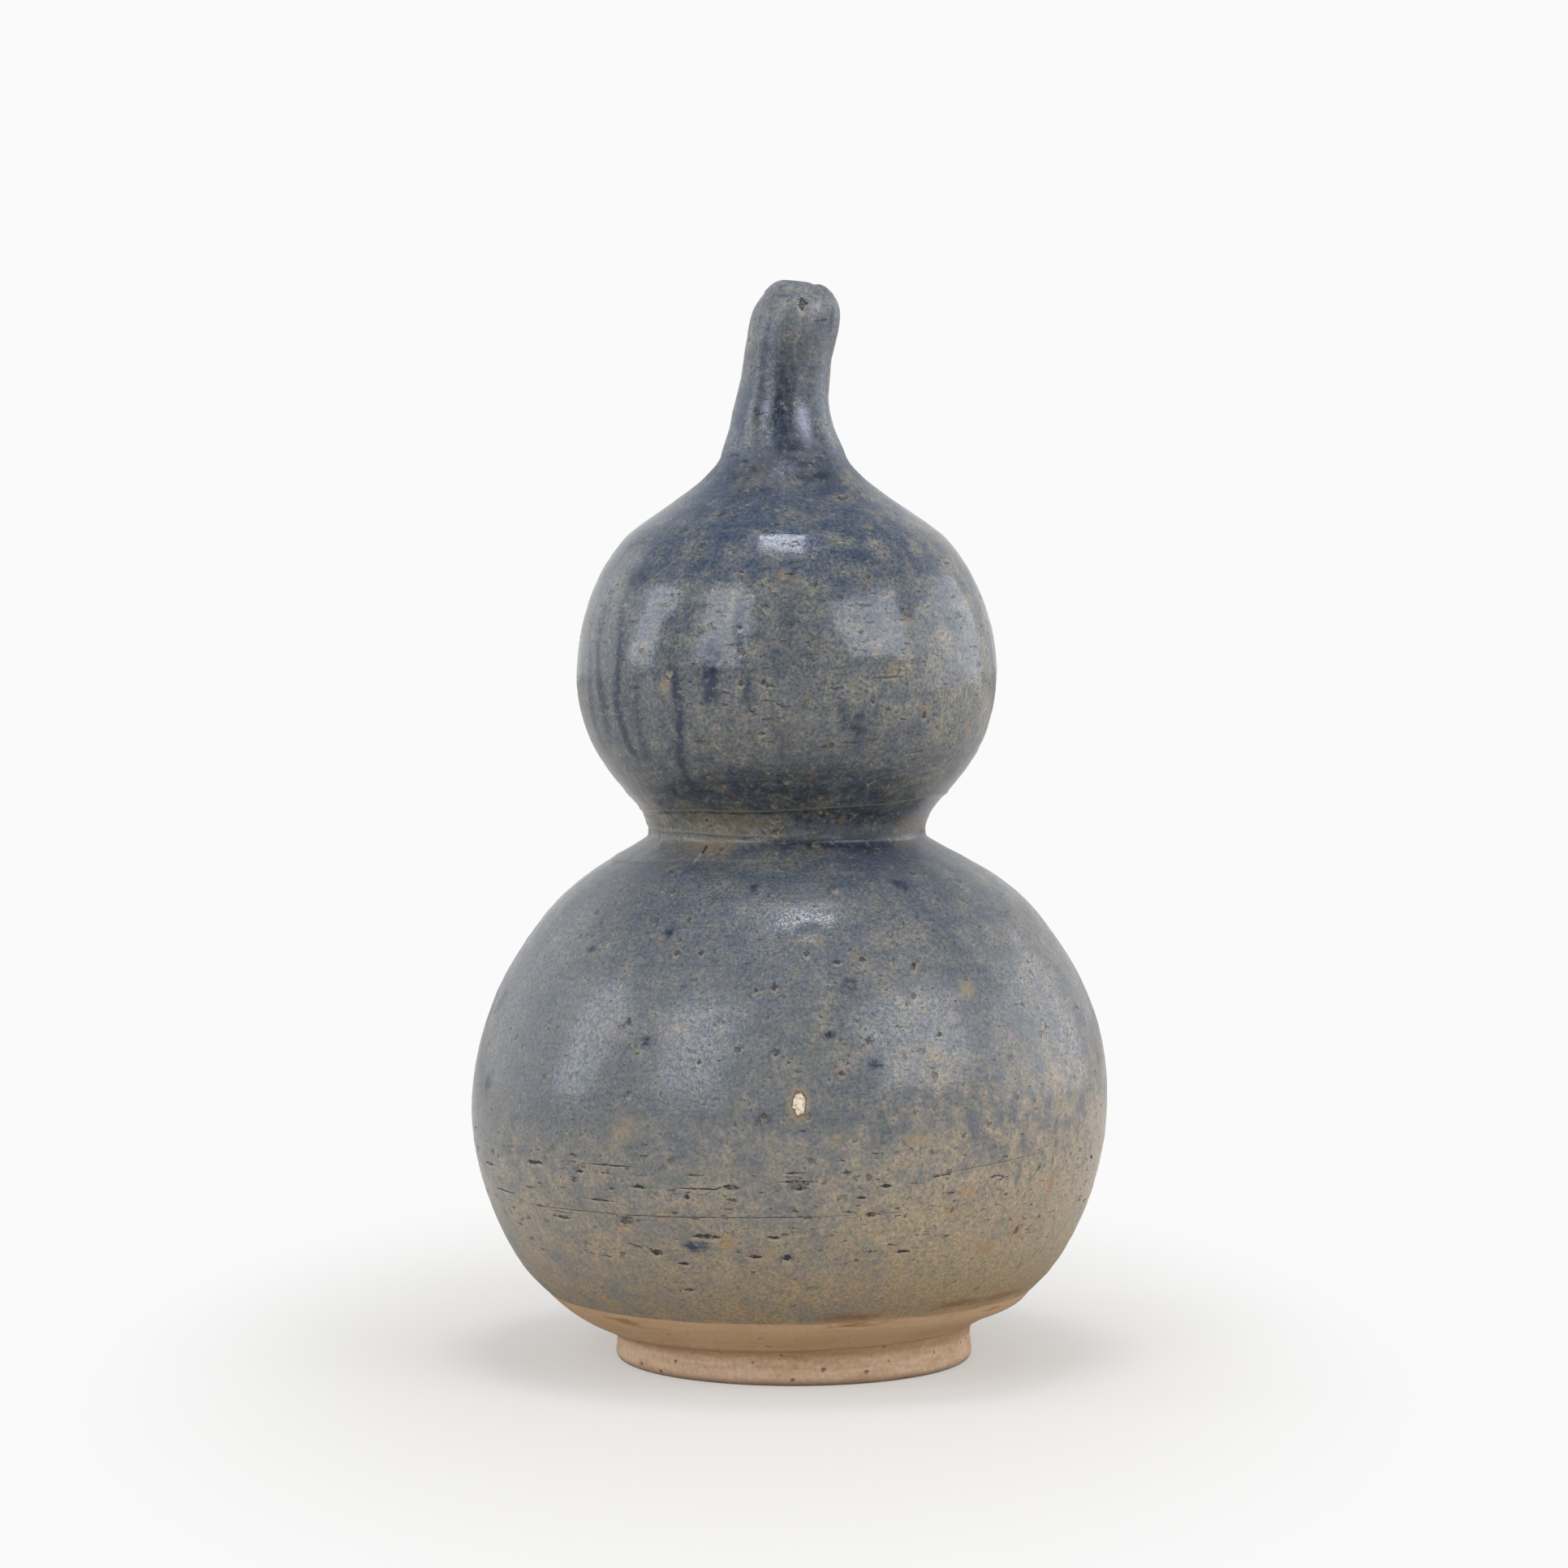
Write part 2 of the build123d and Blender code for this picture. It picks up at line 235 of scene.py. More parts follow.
def turned(name, outline, turns):
    """Turns a closed outline of (r, z) points about the axis, as on the wheel."""
    bpy.ops.object.select_all(action="DESELECT")
    bpy.ops.mesh.primitive_circle_add(vertices=len(outline), fill_type="NOTHING")
    obj = bpy.context.object
    obj.name = obj.data.name = name
    set_points(obj, np.column_stack([outline[:, 0], np.zeros(len(outline)), outline[:, 1]]))
    bpy.ops.object.mode_set(mode="EDIT")
    bpy.ops.mesh.select_all(action="SELECT")
    bpy.ops.mesh.spin(steps=turns, angle=2 * math.pi, center=(0, 0, 0), axis=(0, 0, 1))
    bpy.ops.mesh.select_all(action="SELECT")
    bpy.ops.mesh.remove_doubles(threshold=2e-6)
    bpy.ops.mesh.delete_loose(use_verts=True, use_edges=True, use_faces=False)
    bpy.ops.mesh.select_all(action="SELECT")
    bpy.ops.mesh.normals_make_consistent(inside=False)
    bpy.ops.object.mode_set(mode="OBJECT")
    bpy.ops.object.shade_smooth_by_angle(angle=math.radians(50))
    return obj


def spread(low, high, step):
    return np.linspace(low, high, max(2, int(round((high - low) / step)) + 1))


def finish_piece(obj, node, slot, material):
    obj.data.materials.clear()
    obj.data.materials.append(material)
    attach(obj, "root")
    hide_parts(node)


def noise_at(points, size, seed):
    """Smooth noise between -1 and 1 whose lumps are about size millimetres across."""
    scaled = points / size + seed
    return np.array([noise.noise(Vector(p)) for p in scaled])


# Materials

TIMES = {"operation": "MULTIPLY"}
SMOOTH = {"interpolation_type": "SMOOTHSTEP"}    # an eased Map Range
RGBA = {"data_type": "RGBA", "out": 2}           # a Mix of colours and its output


def ink(hexed):
    """sRGB hex to a linear colour."""
    parts = [int(hexed[i:i + 2], 16) / 255 for i in (1, 3, 5)]
    return tuple(c / 12.92 if c < 0.04045 else ((c + 0.055) / 1.055) ** 2.4 for c in parts) + (1.0,)


def put(tree, kind, inputs=(), out=0, stops=None, **settings):
    """Adds a node with its settings, ramp stops, and constants and links, listed from the first
    input on or named, with colours in hex. Gives the output asked for, or all of them for None."""
    made = tree.nodes.new("ShaderNode" + kind)
    for name, value in settings.items():
        setattr(made, name, value)
    for name, value in inputs.items() if isinstance(inputs, dict) else enumerate(inputs):
        if isinstance(value, bpy.types.NodeSocket):
            tree.links.new(value, made.inputs[name])
        else:
            made.inputs[name].default_value = ink(value) if isinstance(value, str) else value
    if stops:
        marks = made.color_ramp.elements
        marks[0].position, marks[1].position = stops[0][0], stops[-1][0]
        middle = [marks.new(place) for place, _ in stops[1:-1]]
        for mark, (_, value) in zip([marks[0]] + middle + [marks[len(stops) - 1]], stops):
            mark.color = ink(value) if isinstance(value, str) else (value, value, value, 1)
    return made.outputs if out is None else made.outputs[out]


def new_material(name):
    material = bpy.data.materials.new(name)
    material.use_nodes = True
    material.node_tree.nodes.clear()
    return material, material.node_tree


# How the glaze changes up the vase: stops of (share of the height, value).
UP_THE_VASE = {
    # How blue: deep on the stem, the shoulder and round the waist, little near the foot.
    "blue": [
        (0.06, 0.36), (0.12, 0.36), (0.2, 0.42), (0.28, 0.44), (0.37, 0.48), (0.44, 0.58), (0.475, 0.68),
        (0.5, 0.56), (0.53, 0.62), (0.57, 0.48), (0.64, 0.44), (0.7, 0.5), (0.735, 0.68), (0.8, 0.78),
        (0.88, 0.76), (0.95, 0.62), (1, 0.45),
    ],
    # How strongly the noises stir the colour.
    "calm": [(0.08, 0.42), (0.14, 0.5), (0.2, 0.55), (0.3, 0.54), (0.46, 0.62), (0.52, 0.95)],
    # Bluer to the right of the waist, for each millimetre of x.
    "at_waist": [(0.46, 0), (0.485, 0.016), (0.51, 0.016), (0.53, 0)],
    # How much of the buff clay shows through, and how much more to the right and to both sides.
    "tan": [
        (0.06, 0.6), (0.1, 0.58), (0.13, 0.55), (0.17, 0.52), (0.21, 0.45), (0.27, 0.36), (0.36, 0.28),
        (0.46, 0.25), (0.49, 0.42), (0.515, 0.36), (0.56, 0.31), (0.65, 0.3), (0.73, 0.24), (1, 0.24),
    ],
    "lean": [
        (0.05, 0.003), (0.12, 0.003), (0.2, 0.0038), (0.27, 0.0033), (0.34, 0.0025), (0.44, 0.002),
        (0.56, 0.0035), (0.7, 0.0035), (0.8, 0.002),
    ],
    "sides": [(0.06, 0.001), (0.12, 0.0015), (0.165, 0.003), (0.22, 0.001), (0.26, 0)],
    # Drops of it low on the right.
    "dropped": [(0.09, 0), (0.14, 0.024), (0.26, 0.026), (0.33, 0)],
    "buff": [
        (0.08, "#917950"), (0.13, "#9a8767"), (0.2, "#a19178"), (0.44, "#8f8575"),
        (0.49, "#827a60"), (0.53, "#827a60"), (0.58, "#8b8472"),
    ],
    # How sandy the grain is, and painted shade and light: darker or lighter by height, and lighter to both
    # sides and to the right where more light falls.
    "sandy": [(0.1, 1.1), (0.25, 1.2), (0.4, 1.7), (0.56, 2.3), (0.75, 2.2), (0.85, 1.7)],
    "painted_shade_and_light": [
        (0.42, 0.97), (0.47, 0.93), (0.52, 0.92), (0.56, 0.82), (0.7, 0.84), (0.76, 1.02), (0.82, 1.04),
        (0.86, 0.98), (0.97, 0.98), (1, 1.25),
    ],
    "pale": [
        (0.52, 0), (0.58, 0.006), (0.7, 0.006), (0.76, 0.002), (0.8, 0.008), (0.86, 0.018), (0.92, 0),
    ],
    "painted_light_to_right": [
        (0.2, 0), (0.3, 0.0007), (0.45, 0.0007), (0.52, 0), (0.57, 0.0015), (0.7, 0.0015), (0.75, 0),
    ],
    "ochre": [(0.08, "#7d562c"), (0.13, "#936a3c"), (0.2, "#97734a"), (0.24, "#938062")],
    # Where fine slits open.
    "slit": [
        (0.09, 0), (0.14, 0.05), (0.2, 0.05), (0.26, 0), (0.5, 0), (0.58, 0.055), (0.7, 0.055),
        (0.78, 0.06), (0.84, 0.05), (0.9, 0),
    ],
    # The upper globe carries more glaze, so its surface is smoother and glossier.
    "relief": [(0.46, 1), (0.55, 0.4), (0.78, 0.4), (0.82, 1)],
    "rough": [
        (0.07, 0.55), (0.17, 0.2), (0.26, 0.13), (0.455, 0.12), (0.472, 0.2), (0.488, 0.2), (0.51, 0.12),
        (0.55, 0.07), (0.78, 0.07), (0.8, 0.16), (0.82, 0.36), (0.84, 0.32), (0.862, 0.08), (0.878, 0.09),
        (0.895, 0.2), (0.96, 0.24), (1, 0.35),
    ],
}


def glaze_fields(t):
    """What the glaze is drawn with: places in millimetres, noises, and its traits up the vase."""
    f = SimpleNamespace()
    f.mm = put(t, "VectorMath", {0: put(t, "TexCoord", out="Object"), "Scale": 1 / MM}, operation="SCALE")
    f.x, _, f.z = put(t, "SeparateXYZ", [f.mm], out=None)
    # Wiped bands and dashes lie level, as the wheel left them, and runs and drops of the glaze hang down.
    f.level, band, dash, hung = (
        put(t, "VectorMath", [f.mm, scale], **TIMES)
        for scale in ((1, 1, 0), (0.1, 0.1, 1), (0.3, 0.3, 1), (1, 1, 0.6))
    )
    spoke = put(t, "VectorMath", [f.level], operation="NORMALIZE")
    down = put(t, "CombineXYZ", {2: put(t, "Math", [f.z, 0.1], **TIMES)})
    hang = put(t, "VectorMath", [spoke, (30, 30, 30), down], operation="MULTIPLY_ADD")
    # Each noise with the size of its lumps in millimetres, its detail and its roughness.
    for name, vector, size, detail, rough in (
        ("cloud", f.mm, 14, 2.0, 0.5), ("mottle", f.mm, 4, 5.0, 0.65), ("fleck", f.mm, 1.2, 3.0, 0.6),
        ("torn", dash, 0.9, 5.0, 0.66), ("grain", f.mm, 0.5, 2.0, 0.6), ("wiped", band, 1.5, 5.0, 0.62),
        ("runs", hang, 2.4, 3.0, 0.6), ("drops", hung, 2.1, 2.0, 0.5), ("wave", f.level, 9, 4.0, 0.6),
    ):
        looks = {"Vector": vector, "Scale": 1 / size, "Detail": detail, "Roughness": rough}
        amount, tints = put(t, "TexNoise", looks, out=None)
        setattr(f, name, amount)
        setattr(f, name + "_tints", tints)
    broken = put(t, "Math", [f.fleck, f.torn], operation="ADD")
    f.broken = put(t, "MapRange", [broken, 0.8, 1.15, 0.3, 1.15])
    f.jitter = put(t, "VectorMath", [f.grain_tints, (0.5, 0.5, 0.5)], operation="SUBTRACT")
    f.loose = put(t, "VectorMath", [f.jitter, (1.6, 1.6, 1.6), f.mm], operation="MULTIPLY_ADD")
    height = put(t, "Math", [f.z, TOP], operation="DIVIDE")
    f.up = {name: put(t, "ValToRGB", [height], stops=stops) for name, stops in UP_THE_VASE.items()}
    return f


def stir(t, value, layers, calm=None):
    """Adds fields to a value by their weights, or noises, which are centred and calmed first."""
    for field, weight in layers:
        if calm is not None:
            field = put(t, "Math", [field, 0.5], operation="SUBTRACT")
            field = put(t, "Math", [field, calm], **TIMES)
        value = put(t, "Math", [field, weight, value], operation="MULTIPLY_ADD")
    return value


def surface(t, colour, rough, ior, bumps):
    """Gives a material its colour, gloss and relief."""
    normal = put(t, "Bump", {"Strength": 1.0, "Distance": MM, "Height": bumps})
    looks = {"Base Color": colour, "Roughness": rough, "IOR": ior, "Normal": normal}
    put(t, "OutputMaterial", [put(t, "BsdfPrincipled", looks)], out=None)


def glaze_body(t, f):
    """Slate blue where the glaze is thick, grey and beige where it is thin, and bare at its lower edge, with
    painted shade and light over it.
    """
    up = f.up
    sided = put(t, "Math", [f.x, up["at_waist"]], **TIMES)
    aside = put(t, "Math", [f.x], operation="ABSOLUTE")
    stirred = ((f.cloud, 0.4), (f.mottle, 0.9), (f.fleck, 0.9), (f.wiped, 0.6), (f.runs, 0.4))
    blue = stir(t, up["blue"], stirred, up["calm"])
    blue = put(t, "Math", [blue, sided], operation="ADD")
    blue = put(t, "MapRange", [blue, 0.1, 0.9])
    colour = put(t, "Mix", {0: blue, 6: "#7a7b75", 7: "#3b4758"}, **RGBA)

    # Where the glaze is thin, the buff clay shows through in flecks, more to the right.
    right = put(t, "Math", [f.x, 0.0], operation="MAXIMUM")
    dropped = put(t, "Math", [up["dropped"], right], **TIMES)
    drops = put(t, "Math", [f.drops, 0.5], operation="SUBTRACT")
    tan = stir(t, up["tan"], ((f.x, up["lean"]), (aside, up["sides"]), (sided, -0.5), (drops, dropped)))
    stirred = ((f.cloud, -0.6), (f.mottle, -1.3), (f.fleck, 0.6), (f.torn, 0.4), (f.grain, 0.2))
    tan = stir(t, tan, stirred, up["calm"])
    tan = put(t, "MapRange", [tan, 0.24, 0.8, 0.0, 0.9], **SMOOTH)
    colour = put(t, "Mix", {0: tan, 6: colour, 7: up["buff"]}, **RGBA)

    # Sandy grain, lighter and darker places, painted shade and light by height, to both sides and to the
    # right, and specks of other tints.
    sand = put(t, "Math", [f.grain, 0.5], operation="SUBTRACT")
    shade = stir(t, 0.8, ((sand, up["sandy"]), (f.fleck, 0.4)))
    # Painted shade and light: darker or lighter up the vase, and lighter to the sides and to the right.
    painted_shade_and_light = stir(t, up["painted_shade_and_light"], ((aside, up["pale"]), (f.x, up["painted_light_to_right"])))
    for amount in (shade, painted_shade_and_light):
        colour = put(t, "VectorMath", {0: colour, "Scale": amount}, operation="SCALE")
    tints = [f.grain_tints, (0.9, 0.5, 0.9), (0.55, 0.75, 0.55)]
    speckle = put(t, "VectorMath", tints, operation="MULTIPLY_ADD")
    colour = put(t, "VectorMath", [colour, speckle], **TIMES)

    # The lower edge thins away to the colour of the clay along an uneven line.
    edge = stir(t, f.z, ((f.wave, 4.5), (f.x, -0.03), (f.torn, 2.0)))
    edge = put(t, "MapRange", [edge, 12.9, 15.4, 0.95, 0.0], **SMOOTH)
    return put(t, "Mix", {0: edge, 6: colour, 7: "#ab8a5c"}, **RGBA)


def glaze_stains_and_shade(t, f, colour):
    """Blue runs and blobs, ochre patches, and the dark of pooled glaze with painted shade, placed on the
    mesh.
    """
    stain_and_shade = put(t, "SeparateXYZ", [put(t, "Attribute", out="Vector", attribute_name="stain_and_shade")], out=None)
    # The third tint is the dark of pooled glaze together with painted shade.
    for amount, tint in zip(stain_and_shade, ("#243042", f.up["ochre"], "#22262b")):
        cover = put(t, "Math", [amount, f.broken], use_clamp=True, **TIMES)
        colour = put(t, "Mix", {0: cover, 6: colour, 7: tint}, **RGBA)
    return colour


def glaze_pinholes(t, f, colour):
    """Soft ochre and blue spots, and pinholes about 0.5 and 1 mm across with a painted highlight on their
    lower rim.
    """
    # The pale spots set a little below two kinds of pinhole are painted highlights on their lower rims.
    above = put(t, "VectorMath", [f.loose, (0, 0, 0.3)], operation="ADD")
    crowd = put(t, "MapRange", [f.mottle, 0.4, 0.6, 1.0, 0.2])
    upward = put(t, "MapRange", [f.z, 14, 48, 0.45, 0.85])
    crowd = put(t, "Math", [crowd, upward], **TIMES)
    holes = []
    # Each kind with its spacing in millimetres, its size in that spacing, how soft its edge is,
    # its tint and strength, and whether it is a hole.
    for vector, cell, size, soft, tint, weight, hole in (
        (f.loose, 5.0, 0.13, 1.0, "#8c7449", 0.45, False), (f.loose, 6.5, 0.12, 0.9, "#33415c", 0.65, False),
        (above, 1.3, 0.22, 0.4, "#a0988a", 0.5, False), (f.loose, 1.3, 0.21, 0.3, "#24282d", 0.8, True),
        (above, 3.6, 0.15, 0.3, "#a89e8b", 0.6, False), (f.loose, 3.6, 0.15, 0.2, "#1a1d21", 0.95, True),
    ):
        away = put(t, "TexVoronoi", {"Vector": vector, "Scale": 1 / cell}, out="Distance")
        low, high = size * (1 - soft), size * (1 + soft)
        spot = put(t, "MapRange", [away, low, high, weight, 0.0], **SMOOTH)
        spot = put(t, "Math", [spot, crowd], **TIMES)
        colour = put(t, "Mix", {0: spot, 6: colour, 7: tint}, **RGBA)
        if hole:
            holes.append(spot)
    return colour, put(t, "Math", [holes[0], holes[1]], operation="MAXIMUM")


def glaze_cracks(t, f, colour):
    """Fine slits that lie level, most on the shoulder and low on the belly, and a fine net of crazing."""
    slit = put(t, "Math", [f.torn, f.up["slit"]], operation="ADD")
    slit = put(t, "MapRange", [slit, 0.665, 0.71, 0.0, 0.85])
    net = {"Vector": f.loose, "Scale": 1 / 1.3}
    crackle = put(t, "TexVoronoi", net, out="Distance", feature="DISTANCE_TO_EDGE")
    crackle = put(t, "MapRange", [crackle, 0.0, 0.07, 0.2, 0.0])
    for cover, tint in ((slit, "#25282d"), (crackle, "#2c3036")):
        colour = put(t, "Mix", {0: cover, 6: colour, 7: tint}, **RGBA)
    return colour, slit, crackle


def glaze_ridges(t, f, colour):
    """Ridges at the waist, a pale crest with a painted shadow line under it, and painted highlights on the
    stem and the lip.
    """
    ridge = put(t, "Attribute", out="Vector", attribute_name="ridge")
    gap, power, painted_highlight = put(t, "SeparateXYZ", [ridge], out=None)
    # The dark line under each ridge is painted shadow.
    shadow_line = put(t, "Math", [gap, 0.4], operation="ADD")
    for off, wide, tint in ((gap, 0.22, "#8f866c"), (shadow_line, 0.26, "#22262a")):
        line = put(t, "Math", [off], operation="ABSOLUTE")
        line = put(t, "MapRange", [line, 0.0, wide, 0.6, 0.0])
        line = put(t, "Math", [line, power], **TIMES)
        line = put(t, "Math", [line, f.broken], use_clamp=True, **TIMES)
        colour = put(t, "Mix", {0: line, 6: colour, 7: tint}, **RGBA)
    # Painted highlight in pale lavender on the stem and the lip.
    highlight_cover = put(t, "Math", [painted_highlight, f.broken], use_clamp=True, **TIMES)
    highlight_cover = put(t, "Math", [highlight_cover, 0.8], **TIMES)
    return put(t, "Mix", {0: highlight_cover, 6: colour, 7: "#9aa0b6"}, **RGBA)


def glaze_tears(t, f, colour):
    """Tears: dark, ragged and drawn to points, with a pale edge below that catches the light."""
    tear = put(t, "Attribute", out="Vector", attribute_name="tear")
    frayed = put(t, "VectorMath", [f.torn_tints, (0.5, 0.5, 0.5)], operation="SUBTRACT")
    for field, amount in ((frayed, (2.6, 3.6, 0.0)), (f.jitter, (1.0, 1.8, 0.0))):
        tear = put(t, "VectorMath", [field, amount, tear], operation="MULTIPLY_ADD")
    along, across, power = put(t, "SeparateXYZ", [tear], out=None)
    gaps = put(t, "MapRange", [f.fleck, 0.4, 0.5, 0.5, 1.0])
    for drop, inner, outer, strength, tint in (
        (1.2, 0.9, 2.0, 0.5, "#a1967f"), (0.0, 0.95, 1.35, 1.0, "#202328"),
    ):
        away = put(t, "Math", [across, drop], operation="ADD")
        away = put(t, "CombineXYZ", [along, away])
        away = put(t, "VectorMath", [away], operation="ABSOLUTE")
        away = put(t, "VectorMath", [away, (2.0, 0.9, 1)], operation="POWER")
        away = put(t, "VectorMath", [away, (1, 1, 0)], out="Value", operation="DOT_PRODUCT")
        gash = put(t, "MapRange", [away, inner, outer, strength, 0.0], **SMOOTH)
        for part in (power, gaps):
            gash = put(t, "Math", [gash, part], **TIMES)
        colour = put(t, "Mix", {0: gash, 6: colour, 7: tint}, **RGBA)
    return colour, gash


def glaze_chip(t, f, colour):
    """A chip that shows cream clay, with a dark rim and a buff halo."""
    chip = put(t, "Attribute", out="Vector", attribute_name="chip")
    chip = put(t, "VectorMath", [f.jitter, (0.6, 0.45, 0.0), chip], operation="MULTIPLY_ADD")
    flake = put(t, "SeparateXYZ", [chip], out=2)
    away = 0.0
    for side in (
        (1.0, -0.12), (0.75, 0.7), (0.1, 1.05), (-0.85, 0.6), (-1.05, 0.05), (-0.9, -0.75), (0.2, -0.95),
    ):
        side = put(t, "VectorMath", [chip, side + (0.0,)], out="Value", operation="DOT_PRODUCT")
        away = put(t, "Math", [side, away], operation="MAXIMUM")
    cream = put(t, "MapRange", [f.grain, 0.38, 0.6])
    cream = put(t, "Mix", {0: cream, 6: "#b09a78", 7: "#e0d6c2"}, **RGBA)
    for inner, outer, strength, tint in (
        (1.1, 2.3, 0.55, "#9f8a68"), (1.15, 1.4, 0.75, "#5d4d3a"), (0.92, 1.05, 1.0, cream),
    ):
        bare = put(t, "MapRange", [away, inner, outer, strength, 0.0], **SMOOTH)
        bare = put(t, "Math", [bare, flake], **TIMES)
        colour = put(t, "Mix", {0: bare, 6: colour, 7: tint}, **RGBA)
    return colour, bare


def ash_glaze():
    """Blue-grey ash glaze on stoneware, dipped and fired: glossy and finely crazed, slate blue where
    it is thick, grey and beige where it is thin, with blue runs, pinholes and crawled tears."""
    material, t = new_material("ash_glaze")
    f = glaze_fields(t)
    colour = glaze_body(t, f)
    colour = glaze_stains_and_shade(t, f, colour)
    colour, pit = glaze_pinholes(t, f, colour)
    colour, slit, crackle = glaze_cracks(t, f, colour)
    colour = glaze_ridges(t, f, colour)
    colour, gash = glaze_tears(t, f, colour)
    colour, bare = glaze_chip(t, f, colour)
    bumps = put(t, "Math", [f.grain, 0.018], **TIMES)
    bumps = stir(t, bumps, (
        (f.mottle, 0.03), (f.wiped, 0.035), (pit, -0.1), (slit, -0.08), (crackle, -0.06), (gash, -0.1)))
    bumps = put(t, "Math", [bumps, f.up["relief"]], **TIMES)
    rough = stir(t, f.up["rough"], ((f.mottle, 0.06), (gash, 0.4), (bare, 0.4)))
    surface(t, colour, rough, 1.52, bumps)
    return material


def bare_clay(name, body, dark):
    """Unglazed stoneware, turned and trimmed: pinkish buff with pits, specks and scrape
    marks, flashed brown by the kiln towards the glaze."""
    material, t = new_material(name)
    mm = put(t, "VectorMath", {0: put(t, "TexCoord", out="Object"), "Scale": 1 / MM}, operation="SCALE")
    z = put(t, "SeparateXYZ", [mm], out=2)
    lie = put(t, "VectorMath", [mm, (0.12, 0.12, 1)], **TIMES)
    flat = put(t, "VectorMath", [mm, (0.6, 0.6, 1)], **TIMES)
    cloud, grain, scrape, flake, stroke = (
        put(t, "TexNoise", {"Vector": vector, "Scale": 1 / size, "Detail": detail, "Roughness": rough})
        for vector, size, detail, rough in (
            (mm, 9, 4.0, 0.5), (mm, 0.7, 3.0, 0.5), (lie, 0.8, 3.0, 0.5), (flat, 2.6, 3.0, 0.5),
            (lie, 1.7, 4.0, 0.55))
    )
    mix = put(t, "Math", [cloud, scrape], operation="ADD")
    mix = put(t, "MapRange", [mix, 0.75, 1.4], **SMOOTH)
    colour = put(t, "Mix", {0: mix, 6: body, 7: dark}, **RGBA)
    shade = put(t, "MapRange", [grain, 0.3, 0.7, 0.85, 1.12])
    colour = put(t, "VectorMath", {0: colour, "Scale": shade}, operation="SCALE")

    # Dark pits, pale flakes, the kiln's flash, the brown of the joint, strokes of glaze, and darker towards
    # the standing edge.
    hole = put(t, "TexVoronoi", {"Vector": flat, "Scale": 1 / 2.4}, out="Distance")
    hole = put(t, "Math", [grain, 0.35, hole], operation="MULTIPLY_ADD")
    pit = put(t, "MapRange", [hole, 0.24, 0.31, 0.75, 0.0], **SMOOTH)
    flake = put(t, "MapRange", [flake, 0.68, 0.72, 0.0, 0.5])
    flash, joint, above, under_glaze, darker_at_base = (
        put(t, "MapRange", [z, low, high, below, over], **SMOOTH)
        for low, high, below, over in (
            (4.0, 8.0, 0.0, 0.7), (3.6, 4.8, 0.0, 1.0), (4.8, 6.4, 0.4, 0.0), (8.6, 9.6, 0.0, 1.0),
            (0.2, 1.6, 0.6, 0.0))
    )
    joint = put(t, "Math", [joint, above], **TIMES)
    stroke = put(t, "MapRange", [stroke, 0.56, 0.62, 0.0, 0.8], **SMOOTH)
    stroke = put(t, "Math", [stroke, under_glaze], **TIMES)
    for cover, tint in (
        (pit, "#5a4330"), (flake, "#dccbb0"), (flash, "#ab8a63"), (joint, "#8d6338"), (stroke, "#8a6234"),
        (darker_at_base, "#5c4a3a"),
    ):
        colour = put(t, "Mix", {0: cover, 6: colour, 7: tint}, **RGBA)
    bumps = put(t, "Math", [grain, 0.05], **TIMES)
    surface(t, colour, 0.72, 1.5, stir(t, bumps, ((scrape, 0.08), (pit, -0.12))))
    return material


GLAZE_FINISH = ash_glaze()
CLAY_FINISH = bare_clay("bare_stoneware", "#c8ac8e", "#b59474")
SLIP_FINISH = bare_clay("joining_slip", "#b59372", "#a07f5f")

# Pieces of clay and slip


def wall_outline(low, high, step):
    """A band of the thrown wall between two heights, outside and in."""
    z = spread(low, high, step)
    return np.vstack([np.column_stack([clay_radius(z), z]), np.column_stack([hollow_radius(z), z])[::-1]])


def foot_outline():
    """The foot ring, from its standing face up its outside and down the recess."""
    outside = smooth_through([
        (RECESS + 2.5, 0.0), (26.2, 0.0), (26.8, 0.1), (27.2, 0.45), (27.35, 1.1), (27.25, 2.2), (27.15, 3.3),
        (27.25, 4.1), (27.6, 4.7), (FOOT_LIP, FOOT_TOP),
    ], 3)
    inside = [(RECESS + 0.3, FOOT_TOP), (RECESS, 3.0), (RECESS + 0.2, 1.0), (RECESS + 1.0, 0.2)]
    return np.vstack([outside, inside])


def bowl_outline():
    """The lower bowl: groove, trimmed facet, the glazed wall up to the seam, and the chamber inside."""
    runout = FACET_TOP - 1.0
    facet = smooth_through([
        (FACET_NECK, BOWL_BASE), (30.2, BOWL_BASE + 0.5), (32.6, BOWL_BASE + 1.7), (34.6, BOWL_BASE + 2.8),
        (36.0, BOWL_BASE + 3.8), (37.0, BOWL_BASE + 4.8), (float(clay_radius(runout)), runout),
        (float(clay_radius(FACET_TOP)), FACET_TOP),
    ], 4)
    z = spread(FACET_TOP, LOWER_SEAM, 1.6)[1:]
    outside = np.column_stack([clay_radius(z), z])
    z = spread(CHAMBER_FLOOR, LOWER_SEAM, 1.6)[::-1]
    inside = np.column_stack([hollow_radius(z), z])
    base = [(15, CHAMBER_FLOOR), (0, CHAMBER_FLOOR), (0, BOWL_BASE), (15, BOWL_BASE)]
    return np.vstack([facet, outside, inside, base])


def crown_outline():
    """The upper dome with its ogee shoulder, and the start of the bore."""
    z = spread(CROWN_BASE, SHOULDER, 1.2)[:-1]
    outside = np.vstack([np.column_stack([clay_radius(z), z]), shoulder_line(14)])
    bend = CROWN_TOP - 1.5
    z = np.concatenate([spread(CROWN_BASE, bend - 0.2, 1.0), spread(bend, CROWN_TOP, 0.3), [ROOT]])[::-1]
    return np.vstack([outside, np.column_stack([hollow_radius(z), z])])


def stem_outline():
    """The stem with its lip, the mouth and the bore."""
    outside = smooth_through(STEM_LINE, 2)
    mouth = smooth_through(MOUTH_LINE, 2)[1:]
    return np.vstack([outside, mouth, [(BORE, BORE_TOP), (BORE, STEM_BASE)]])


